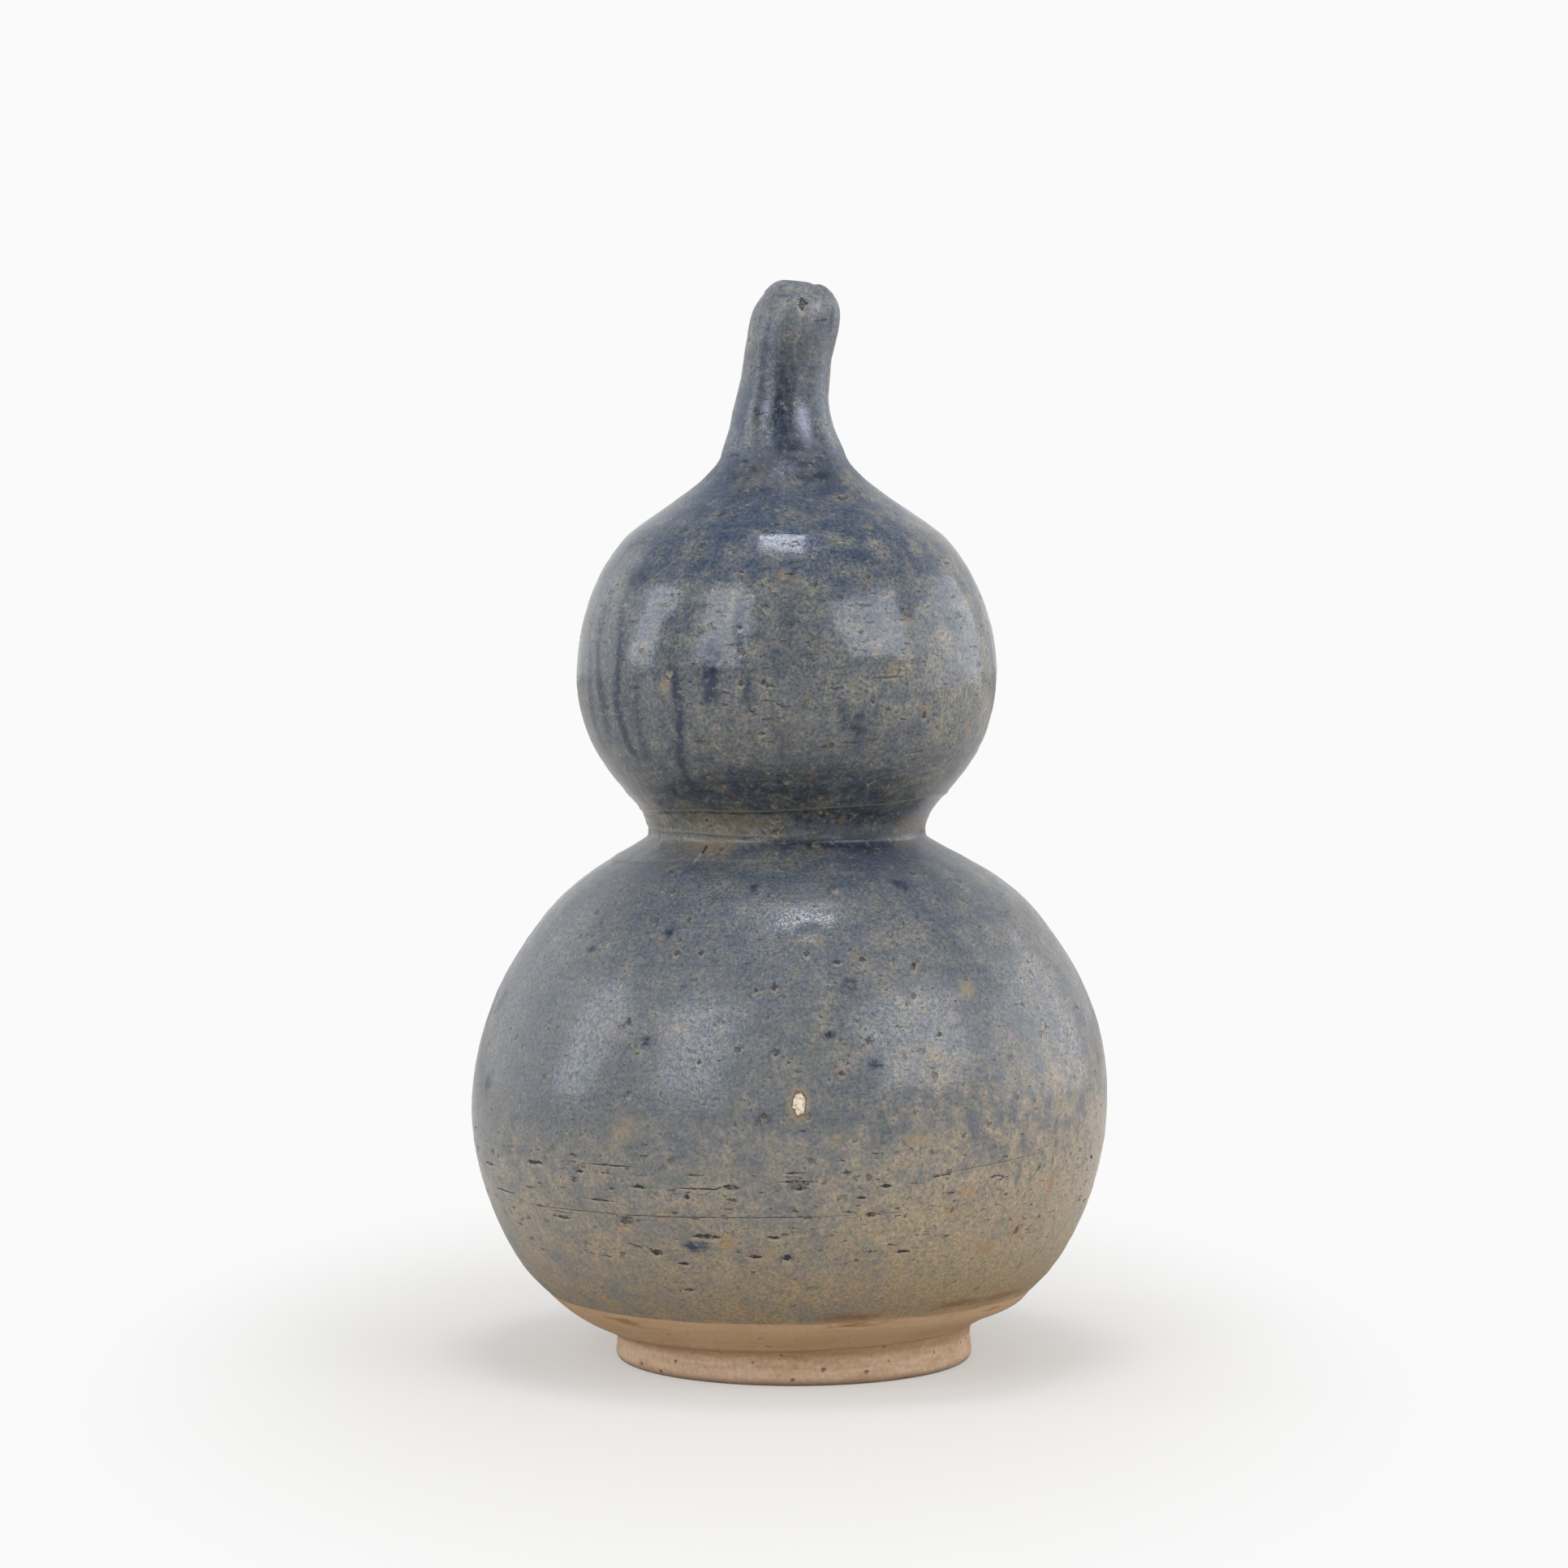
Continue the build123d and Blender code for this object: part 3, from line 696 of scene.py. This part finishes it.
def slip_bead():
    """The bead of slip in the groove between the foot and the bowl."""
    bead = smooth_through([(FOOT_LIP, FOOT_TOP), (28.75, FOOT_TOP + 0.25), (FACET_NECK, BOWL_BASE)], 4)
    return np.vstack([bead, [(RECESS + 0.3, BOWL_BASE), (RECESS + 0.3, FOOT_TOP)]])


root_band = [(ROOT_RADIUS, ROOT), (STEM_LINE[0][0], STEM_BASE), (BORE, STEM_BASE), (BORE, ROOT)]
for node, outline, turns in (
    ("foot_ring", foot_outline(), TURNS),
    ("lower_bowl", bowl_outline(), TURNS),
    ("lower_dome", wall_outline(DOME_BASE, DOME_TOP, 1.6), CLAY_TURNS),
    ("waist_collar", wall_outline(COLLAR_LOW, COLLAR_HIGH, 1.0), CLAY_TURNS),
    ("upper_bowl", wall_outline(UPPER_BASE, UPPER_SEAM, 1.4), CLAY_TURNS),
    ("upper_dome", crown_outline(), CLAY_TURNS),
    ("stem", stem_outline(), CLAY_TURNS),
    ("foot_slip", slip_bead(), TURNS),
    ("lower_globe_slip", wall_outline(LOWER_SEAM, DOME_BASE, 0.25), CLAY_TURNS),
    ("lower_waist_slip", wall_outline(DOME_TOP, COLLAR_LOW, 0.25), CLAY_TURNS),
    ("upper_waist_slip", wall_outline(COLLAR_HIGH, UPPER_BASE, 0.25), CLAY_TURNS),
    ("upper_globe_slip", wall_outline(UPPER_SEAM, CROWN_BASE, 0.25), CLAY_TURNS),
    ("stem_slip", np.array(root_band), CLAY_TURNS),
):
    is_slip = node.endswith("_slip")
    piece = turned(node + ("_seam" if is_slip else "_clay"), outline, turns)
    set_points(piece, settle(mesh_points(piece)))
    finish_piece(piece, node, *(("slip", SLIP_FINISH) if is_slip else ("clay", CLAY_FINISH)))

# The glaze skin

# Rows of the skin: up to which height, and how far apart. They are close where marks crowd.
SKIN_ROWS = [(14, 0.3), (18, 0.7), (37, 0.36), (64, 0.9), (75, 0.75), (89, 0.36), (SHOULDER, 0.9)]
EDGE_ROWS = 12.0     # rows over which the glaze thickens from its lower line
MOUTH_ROWS = 4       # rows before the mouth over which it thins again


def glaze_outline():
    """The skin: outside from the lower line over the lip into the mouth, and back along the clay."""
    rows, low = [], GLAZE_LINE
    for high, step in SKIN_ROWS:
        rows.append(spread(low, high, step)[:-1])
        low = high
    z = np.concatenate(rows)
    mouth = smooth_through(MOUTH_LINE, 3)
    stem = smooth_through(STEM_LINE, 3)[:-1]
    clay = np.vstack([np.column_stack([clay_radius(z), z]), shoulder_line(26)[:-1], stem, mouth])
    tangent = np.gradient(clay, axis=0)
    normal = np.column_stack([tangent[:, 1], -tangent[:, 0]]) / np.linalg.norm(tangent, axis=1)[:, None]
    count = len(clay)
    from_edge = np.arange(count) / EDGE_ROWS
    to_mouth = (count - 1 - np.arange(count)) / float(len(mouth) + MOUTH_ROWS)
    thick = EDGE_GLAZE + (GLAZE - EDGE_GLAZE) * np.clip(np.minimum(from_edge, to_mouth), 0, 1)
    outer = clay + normal * thick[:, None]
    # Against the clay every fifth row is enough, and every second one in the mouth.
    keep = sorted(set(range(0, count, 5)) | set(range(count - len(mouth) - 8, count, 2)) | {count - 1})
    inner = (clay + normal * np.minimum(CLEAR, thick / 3)[:, None])[keep]
    return np.vstack([outer, inner[::-1]])


# Tears where the glaze crawled off the turned clay: angle from the front and
# height of the middle, length and height in millimetres.
TEARS = [
    (-50.5, 33.9, 4.1, 0.5), (-32, 34.9, 8.2, 0.25), (-39, 33.5, 1.4, 0.4), (-44, 30.7, 1.4, 0.3),
    (-26.5, 32, 2.9, 0.35), (-32.5, 31.4, 1, 0.4), (-63.5, 28.3, 6.1, 0.25), (-35.5, 29.5, 5.7, 0.25),
    (-10, 32.6, 2.3, 0.65), (-16, 32.2, 5.9, 0.2), (-16.5, 34.2, 3.1, 0.25), (1.5, 33.5, 5.8, 0.3),
    (1.5, 32.6, 2.3, 0.65), (0.5, 34.8, 2.7, 0.25), (17, 32.6, 2.2, 0.4), (12.5, 31, 2.1, 0.3),
    (14.5, 28.4, 2.2, 0.55), (-15, 25, 4.4, 0.65), (-30.5, 26.6, 1.8, 0.8), (-45.5, 26.1, 4, 0.4),
    (-3, 25.1, 2.5, 0.35), (-25, 22.2, 1.9, 0.55), (-37, 20.8, 2.3, 0.3), (-20, 20.6, 1.6, 0.4),
    (-6.5, 22.1, 1.9, 0.5), (-0.5, 22, 1.5, 0.65), (-20, 16.4, 1.7, 0.4), (-18, 30.9, 0.7, 0.5),
    (21, 22.5, 2.3, 0.4), (15, 22.7, 1.1, 0.3), (-69, 31.9, 3.9, 0.4), (28, 33.8, 1.9, 0.25),
]
# Open pits: as the tears.
PITS = [
    (-25, 65.5, 0.9, 0.7), (-19.5, 65.5, 0.7, 0.6), (3, 65.5, 1, 0.6), (-3.5, 61, 0.9, 0.8),
    (-7, 60.5, 0.7, 0.5), (-3, 52, 1.1, 0.9), (-31.5, 55.5, 0.9, 0.9), (-29, 45.5, 1, 0.8),
    (11.5, 74.5, 1, 0.8), (8.5, 49, 1.1, 0.6), (27.5, 54, 0.9, 0.6), (3, 43, 0.8, 0.7),
    (-16.5, 50.5, 0.7, 0.6), (-5.5, 115.5, 1.1, 0.9), (-32.5, 106.5, 1.2, 1), (-12, 104.5, 0.9, 0.7),
    (-6, 104.5, 0.9, 0.7), (23.5, 102, 0.8, 0.9), (40, 99.5, 0.9, 0.8), (-7, 97, 1, 0.7),
    (-12.5, 112.5, 0.8, 0.6),
]
# Scratched lines and longer slits: as the tears, with the climb from end to end and how dark they are.
LINES = [
    (-22.5, 27.8, 72, 0.15, 1.6, 0.85), (40, 34.9, 19, 0.15, 1.5, 0.6), (26.5, 33.7, 2, 0.35, 0.1, 1),
    (-42.5, 120.5, 5.2, 0.3, 4.1, 0.9), (31, 40.5, 4.5, 0.1, -1.6, 0.5), (35.5, 38.4, 6, 0.1, -2.2, 0.5),
    (27.5, 105.2, 5, 0.35, 0.2, 0.8), (40.5, 94, 3.6, 0.3, 0.5, 0.8), (25, 63.5, 1.2, 0.7, 0.5, 1),
    (9, 64.4, 1.6, 0.5, 0.2, 0.9), (-4.5, 43.1, 0.9, 1.1, -0.4, 0.8), (-33, 79.3, 0.7, 1.2, -0.3, 0.9),
    (9.5, 161.3, 1.4, 1.6, 0, 1), (47, 24, 0.9, 1.1, 0.5, 0.7), (30, 28.3, 0.6, 0.9, 0.3, 0.6),
]
# Runs of blue glaze: angle and height where one starts, where it ends, its width and strength.
RUNS = [
    (-62.5, 119.5, -61, 95, 1, 1.1), (-52.5, 121, -51, 92.5, 0.9, 1.2), (-31, 111.5, -31.5, 89, 0.8, 1.1),
    (-21, 112.5, -19.5, 101, 1.3, 1.1), (-12.5, 121, -11, 100, 0.8, 0.8), (-70.5, 116, -66, 93, 0.9, 0.9),
    (12.5, 103.5, 16.5, 97, 0.7, 0.7), (-45, 108, -44, 92, 0.7, 0.5), (-3, 104, -2, 92, 0.8, 0.4),
    (24, 104, 24.5, 95, 0.6, 0.4), (-4, 152, -2, 139.5, 3.2, 0.6), (56, 162, 58, 156.5, 0.5, 0.9),
    (8, 142.5, 22, 138, 2, 0.6),
]
FAR_RUNS = 22        # more of them on the sides and the back
# Spots: angle, height, length round the vase and height in millimetres.
BLUE_SPOTS = [
    (-28.5, 67.9, 1.5, 1.6), (-47.5, 65, 1.6, 1.4), (-69.5, 44, 2.4, 3), (-0.5, 22, 1.6, 1.2),
    (11, 61, 2.2, 1.8), (-4.5, 42.6, 1.4, 2.4), (-17, 23.5, 3.5, 2), (-30.5, 26.6, 2.4, 1.6),
    (35, 115, 3, 2.2), (-50, 119.5, 6, 2.4), (20, 98, 2.6, 4), (20, 80.2, 24, 1.5), (32, 80, 13, 2.2),
    (8, 139, 10, 1.3), (12, 137, 9, 1.2), (24, 135, 7, 1.2), (6.5, 54.5, 2.2, 1.2), (14.5, 50.5, 2, 1.6),
    (-27, 53, 2, 1.6), (-10.5, 74.5, 1.6, 1.4), (31.5, 74.5, 2.6, 1.6), (-20.5, 106, 3, 6),
]
RUST_SPOTS = [
    (47, 24.2, 1.8, 3.4), (30, 28.4, 1.6, 2), (-11.5, 24.4, 2.8, 2.4), (-22, 27.6, 1.6, 1.2),
    (-29, 40.4, 5, 3.6), (22, 39.2, 4.4, 2.2), (-1, 120.2, 1.6, 1.4), (29.5, 117, 1.6, 1.2),
    (35, 113.4, 2.2, 2), (62.5, 96.8, 2, 4), (60.5, 118.7, 1.6, 1.6), (33.5, 127.4, 1.2, 1),
    (14.5, 28.2, 2.4, 1.4), (-30.5, 26, 2.2, 1.4), (-25, 22.2, 1.8, 1.2), (-6.5, 22.1, 2, 1.4),
    (36, 60, 3, 2.4), (26, 51, 2.6, 2), (33, 31, 1.4, 2.4), (54, 30, 2, 5), (40, 22, 3, 2),
    (-31, 80, 8, 3), (61, 82, 11, 5), (-34, 104, 1.6, 2.6), (40, 100.5, 2.4, 1.6), (40, 12.7, 9, 1.2),
    (54, 12.5, 9, 1.2), (8, 39.9, 2, 1.8), (-22, 83.4, 16, 2.6), (13, 12, 9, 1),
]
# The chip, with its strength, and dimples, with their depth: otherwise as the spots.
CHIPS = [(1.3, 44.8, 1.8, 3.0, 1.0)]
CHIP_DEPTH = 0.22
DIMPLES = [
    (3.4, 68.3, 4.4, 2.2, 0.2), (-28.5, 67.9, 1.8, 1.8, 0.25), (-47.4, 65, 1.8, 1.6, 0.2),
    (56, 48, 3, 2, 0.2),
]
# Knobs where the stem was pinched and joined, and a slow hollow and swell that fingers left
# on the lower globe: as the dimples, with how far they stand out.
KNOBS = [
    (18, 139.3, 4, 1.8, 0.2), (-8, 146.5, 2, 2.4, 0.2), (-9, 69.5, 12, 14, -0.38), (16, 69.5, 14, 16, 0.33),
]
# Painted highlights on the stem and the lip, laid as pale runs of thick glaze: angle, lowest and highest
# place, half width and strength.
PAINTED_HIGHLIGHTS = [(24.6, 139.6, 146.4, 0.9, 1), (-18, 143.8, 147.8, 0.5, 0.6), (34, 159.4, 162.8, 0.8, 0.5)]
# Ridges left at the waist where the two globes were joined: height, climb to the right,
# strength, and whether they run out on the right.
RIDGES = [(85.5, 0.05, 0.7, False), (81.6, -0.01, 0.7, True), (78.1, 0.03, 0.5, True)]
AFAR = 9.0           # stands on the mesh for a place with no mark near it
DEEPEST, PROUDEST = -0.5, 0.4    # limits of the skin's relief, inside the glaze and the CAD's box


def far_marks(seed, count, heights_between, lengths, talls):
    """More marks like those in front, strewn over the sides and back."""
    chance = random.Random(seed)
    made = []
    while len(made) < count:
        angle, z = chance.uniform(70, 285), chance.triangular(*heights_between)
        if all(abs(angle - a) > 4 or abs(z - h) > 1.4 for a, h, _, _ in made):
            long = chance.uniform(*lengths) * chance.uniform(0.4, 1)
            made.append((angle, z, long, min(chance.uniform(*talls), 1.4 * long)))
    return made


def apart(turn, angle):
    """Signed angle from a mark to each point, in radians."""
    return (turn - np.radians(angle) + math.pi) % (2 * math.pi) - math.pi


def upon(skin, angle, middle, length, tall):
    """Where each point lies on a mark, in half lengths along it and half heights up it."""
    return apart(skin.turn, angle) * skin.r / (length / 2), (skin.z - middle) / (tall / 2)


def spots(skin, marks):
    cover = np.zeros(len(skin.z))
    for mark in marks:
        u, v = upon(skin, *mark)
        cover = np.maximum(cover, np.exp(-(u * u + v * v) ** 1.5))
    return cover


def stains_and_shade(skin):
    """Blue, rust, and pooled glaze with painted shade, on each point, as one vector."""
    x, z, turn = skin.x, skin.z, skin.turn
    chance = random.Random(11)
    runs = list(RUNS)
    for k in range(FAR_RUNS):
        angle, start = 72 + 208 * (k + chance.random()) / FAR_RUNS, chance.uniform(106, 121)
        end_angle, end = angle + chance.uniform(-3, 3), start - chance.uniform(8, 26)
        runs.append((angle, start, end_angle, end, chance.uniform(0.6, 1.3), chance.uniform(0.4, 0.9)))
    blue = spots(skin, BLUE_SPOTS + far_marks(3, 34, (14, 122, 45), (1, 6), (1, 3.5)))
    for angle, start, end_angle, end, width, strength in runs:
        t = (start - z) / (start - end)
        side = apart(turn, angle + (end_angle - angle) * t + 1.2 * np.sin(z / 3.1 + angle)) * skin.r
        fade = ramp(t, -0.05, 0.45) * (1 - ramp(t, 0.88, 1.06))
        blue = np.maximum(blue, strength * hump(side, 0, width) * fade)
    rust = spots(skin, RUST_SPOTS + far_marks(5, 46, (12, 120, 24), (1, 4), (1, 3)))
    # A crescent of ochre under each dimple.
    for angle, middle, length, tall, _ in DIMPLES:
        u, v = upon(skin, angle, middle, length, tall)
        rust = np.maximum(rust, 0.9 * hump(np.hypot(u, v), 1.05, 0.3) * ramp(-v, 0.1, 0.8))
    rust *= 0.75 + 0.6 * (1 - ramp(z, 13, 15))
    # Darker glaze, pooled under the upper globe, round the right of the waist and down the front of the stem,
    # with painted shade under the upper globe and round the waist and a patch of painted shade at the stem's
    # root.
    pooled_glaze_and_shade = 0.5 * hump(z, 87.3, 3.2) + 0.3 * hump(z, 92.0, 5.5)
    pooled_glaze_and_shade += (0.42 + 0.28 * ramp(x, -8, 8) * (1 - ramp(x, 15, 19))) * hump(z, 82, 3.4, 4)
    pooled_glaze_and_shade += 0.6 * hump(apart(turn, 2), 0, 0.75, 4) * ramp(z, 138, 144) * (1 - ramp(z, 152, 159))
    pooled_glaze_and_shade += 0.55 * hump(apart(turn, 4), 0, 0.75, 4) * hump(z, 135.5, 3.4)
    return np.column_stack([1.35 * blue, rust, pooled_glaze_and_shade])


def lumps(points):
    """The potter's hand on a true form: slow lumps and fine turning lines, in millimetres."""
    x, y, z = points.T
    level = np.column_stack([x / 14, y / 14, z / 1.3])
    kneaded = (0.05 + 0.05 * ramp(z, 140, 150)) * noise_at(points, 4.5, 9.0)
    pinched = 0.2 * ramp(z, 138, 146) * noise_at(points, 6.5, 5.0)
    return 0.1 * noise_at(points, 13, 4.0) + kneaded + pinched + 0.06 * noise_at(level, 1, 2.0)


def slits(skin):
    """Tears, pits and lines: where each point lies on the nearest one, and how deep they cut."""
    marks = [mark + (0.0, 1.0) for mark in TEARS + far_marks(7, 64, (14, 40, 30), (0.8, 6), (0.25, 0.75))]
    marks += LINES
    marks += [mark + (0.0, 0.9) for mark in PITS + far_marks(8, 26, (90, 122, 105), (0.8, 4), (0.25, 0.6))]
    tear = np.tile([AFAR, AFAR, 0.0], (len(skin.z), 1))
    nearest = np.full((2, len(skin.z)), AFAR)
    cut = np.zeros(len(skin.z))
    for angle, middle, length, tall, climb, strength in marks:
        u, v = upon(skin, angle, middle, length, tall)
        v = v - climb * np.clip(u, -1.2, 1.2) / tall
        near = np.where(skin.outside, np.hypot(u / max(1.5, 2.2 / length), v / 4), AFAR)
        mine = near < np.minimum(nearest[0], 1.5)
        nearest[1] = np.where(mine, nearest[0], np.minimum(nearest[1], near))
        nearest[0] = np.where(mine, near, nearest[0])
        tear[mine] = np.column_stack([u, v, np.full(len(u), strength)])[mine]
        depth = 0.28 * min(1, tall) * strength
        cut += depth * np.exp(-np.clip(u * u, 0, 9) ** 2) * hump(v * tall / 2, 0, tall / 2 + 0.12)
    # A tear fades out before its neighbour's begins.
    tear[:, 2] *= (1 - ramp(nearest[0], 0.9, 1.4)) * ramp(nearest[1] - nearest[0], 0.05, 0.35)
    return tear, cut


def dents(skin):
    """The chip, knobs and dimples: where each point lies on the chip, and how far they stand out."""
    chip = np.tile([AFAR, AFAR, 0.0], (len(skin.z), 1))
    out = np.zeros(len(skin.z))
    for *mark, strength in CHIPS:
        u, v = upon(skin, *mark)
        away = np.hypot(u, v)
        mine = skin.outside & (away < 4)
        chip[mine] = np.column_stack([u, v, strength * (1 - ramp(away, 2.3, 3.5))])[mine]
        out -= CHIP_DEPTH * (1 - ramp(away, 0.6, 1.2))
    for *mark, proud in KNOBS:
        u, v = upon(skin, *mark)
        out += proud * np.exp(-u ** 2 - v ** 2)
    for *mark, depth in DIMPLES:
        away = np.hypot(*upon(skin, *mark))
        out += depth * (0.3 * hump(away, 1.1, 0.3) - np.exp(-away ** 2 / 0.4))
    return chip, out


def ridges(skin):
    """Ridges at the waist and painted highlights: each point's height over a ridge, the ridge's strength and
    the painted highlight on it, and how far the ridges stand out."""
    ridge = np.tile([AFAR, 0.0, 0.0], (len(skin.z), 1))
    out = np.zeros(len(skin.z))
    # Painted highlights on the stem and the lip.
    for angle, low, high, half, strength in PAINTED_HIGHLIGHTS:
        painted_gleam = strength * hump(apart(skin.turn, angle) * skin.r, 0, half)
        painted_gleam *= ramp(skin.z, low, low + 1.4) * (1 - ramp(skin.z, high - 2.4, high))
        ridge[:, 2] = np.maximum(ridge[:, 2], painted_gleam)
    for middle, climb, strength, left in RIDGES:
        gap = skin.z - middle - climb * skin.x
        gap -= 0.18 * np.sin(3 * skin.turn + middle) + 0.1 * np.sin(7 * skin.turn)
        power = strength * np.ones(len(gap)) * (ramp(-skin.turn, -0.25, 0.35) if left else 1)
        mine = skin.outside & (abs(gap) < 2.0)
        ridge[mine, :2] = np.column_stack([gap, power])[mine]
        out += power * (0.13 * hump(gap, 0, 0.3) - 0.1 * hump(gap, -0.55, 0.36))
    return ridge, out


skin_line = glaze_outline()
skin_top = int(np.argmax(skin_line[:, 1]))
skin_r, skin_z = skin_line[:skin_top + 1].T
glaze = turned("glaze_skin", skin_line, TURNS)
points = mesh_points(glaze)
skin = SimpleNamespace(x=points[:, 0], z=points[:, 2].copy(), r=np.hypot(points[:, 0], points[:, 1]))
skin.turn = np.arctan2(skin.x, -points[:, 1])
skin.outside = (skin.r > np.interp(skin.z, skin_z, skin_r) - 0.3) & (skin.z < LIP - 1.0)

# How far each point lies out from the true form, with the upper globe a little fuller.
out = lumps(points) * ramp(skin.z, GLAZE_LINE, GLAZE_LINE + 4) - 0.08
out += 0.2 * ramp(skin.z, 88, 94) * (1 - ramp(skin.z, 120, 130))
out *= 1 - 0.6 * hump(skin.z, LOWER_MID, 6)
tear, cut = slits(skin)
chip, dented = dents(skin)
ridge, ridged = ridges(skin)
stain_and_shade = stains_and_shade(skin)
out = np.where(skin.outside, np.clip(out - cut + dented + ridged, DEEPEST, PROUDEST), 0)

# The lower line wanders up and down along the form.
slope = np.interp(skin.z, skin_z, np.gradient(skin_r, skin_z))
radial = points[:, :2] / np.maximum(skin.r, 1e-6)[:, None]
stretch = np.hypot(slope, 1)
wander = 0.02 * skin.x + 0.5 * noise_at(np.column_stack([radial * 6, 0 * out]), 1, 3.0)
wander *= 1 - ramp(skin.z, GLAZE_LINE + 0.5, GLAZE_LINE + 5)
points[:, :2] += radial * ((out + wander * slope) / stretch)[:, None]
points[:, 2] += (wander - out * slope) / stretch
set_points(glaze, settle(points))
for name, values in (("tear", tear), ("chip", chip), ("ridge", ridge), ("stain_and_shade", stain_and_shade)):
    glaze.data.attributes.new(name, "FLOAT_VECTOR", "POINT").data.foreach_set("vector", values.ravel())
finish_piece(glaze, "glaze_coat", "glaze", GLAZE_FINISH)

# Camera, light and floor

scene = bpy.context.scene
scene.view_settings.view_transform = "Standard"

CAMERA_PITCH = 2.929     # degrees below level
camera_data = bpy.data.cameras.new("camera")
camera_data.sensor_width = 36
camera_data.lens = 102.47
camera = bpy.data.objects.new("camera", camera_data)
camera.location = Vector((-0.745, -683, 123)) * MM
camera.rotation_euler = (math.radians(90 - CAMERA_PITCH), 0, 0)
scene.collection.objects.link(camera)
scene.camera = camera

COOL = "#f0f4ff"         # the softboxes are a little cool, as daylight
WHITE = "#fafafa"
LIGHTS_AIM = Vector((0, 0, 0.09))
# Azimuth from the camera towards the right and elevation in degrees, distance, width and
# height in metres, and radiance.
SOFTBOXES = {
    "overhead_softbox": (0, 83, 1.0, 0.3, 0.25, 10.6),
    "left_softbox": (-37, 26, 1.2, 0.55, 0.85, 3.65),
    "far_left_softbox": (-84, 20, 1.2, 0.39, 0.75, 3.75),
    "rear_left_softbox": (-120, 12, 1.2, 1.0, 0.9, 0.42),
    "right_softbox": (52, 26, 1.2, 0.82, 0.68, 3.6),
    "far_right_softbox": (104, 8, 1.2, 1.25, 0.95, 1.55),
}
for name, (azimuth, elevation, distance, wide, tall, radiance) in SOFTBOXES.items():
    light = bpy.data.lights.new(name, "AREA")
    light.shape = "RECTANGLE"
    light.size, light.size_y = wide, tall
    light.energy = radiance * math.pi * wide * tall
    light.color = ink(COOL)[:3]
    lamp = bpy.data.objects.new(name, light)
    a, e = math.radians(azimuth), math.radians(elevation)
    way = Vector((math.sin(a) * math.cos(e), -math.cos(a) * math.cos(e), math.sin(e)))
    lamp.location = LIGHTS_AIM + way * distance
    lamp.rotation_euler = way.to_track_quat("Z", "Y").to_euler()
    scene.collection.objects.link(lamp)


def white_studio():
    """A white backdrop that lights the vase plainly, with a brighter wall behind in its reflections."""
    world = bpy.data.worlds.new("white_studio")
    world.use_nodes = True
    t = world.node_tree
    t.nodes.clear()
    path = put(t, "LightPath", out=None)
    way = put(t, "SeparateXYZ", [put(t, "TexCoord", out="Generated")], out=None)
    behind = put(t, "MapRange", [way[1], -0.15, 0.35], **SMOOTH)
    aloft = put(t, "MapRange", [way[2], 0.45, 0.85, 1.0, 0.0], **SMOOTH)
    room = put(t, "Math", [behind, aloft], **TIMES)
    room = put(t, "MapRange", {0: room, 3: 0.2, 4: 0.8})
    gloss = put(t, "Mix", {0: path["Is Glossy Ray"], 2: 0.565, 3: room})
    level = put(t, "Mix", {0: path["Is Camera Ray"], 2: gloss, 3: 1.0})
    put(t, "OutputWorld", [put(t, "Background", [WHITE, level])], out=None)
    return world


def pale_floor():
    """A pale matte floor that keeps the vase's shadow and fades into the backdrop away from it."""
    material, t = new_material("pale_floor")
    place = put(t, "VectorMath", [put(t, "TexCoord", out="Object"), (0.006, 0.003, 0)], operation="ADD")
    oval = put(t, "VectorMath", [place, (1.16, 0.61, 1)], **TIMES)
    away = put(t, "VectorMath", [oval], out="Value", operation="LENGTH")
    fade = put(t, "MapRange", [away, 0.04, 0.13, 0.33, 1.0], **SMOOTH)
    fade = put(t, "Math", [fade, put(t, "LightPath", out="Is Camera Ray")], **TIMES)
    matte = put(t, "BsdfDiffuse", ["#dbd7cf"])
    glow = put(t, "Emission", [WHITE, 1.0])
    put(t, "OutputMaterial", [put(t, "MixShader", [fade, matte, glow])], out=None)
    return material


scene.world = white_studio()
bpy.ops.object.select_all(action="DESELECT")
bpy.ops.mesh.primitive_plane_add(size=6, location=(0, 0, 0))
floor = bpy.context.object
floor.name = "floor"
floor.data.materials.append(pale_floor())
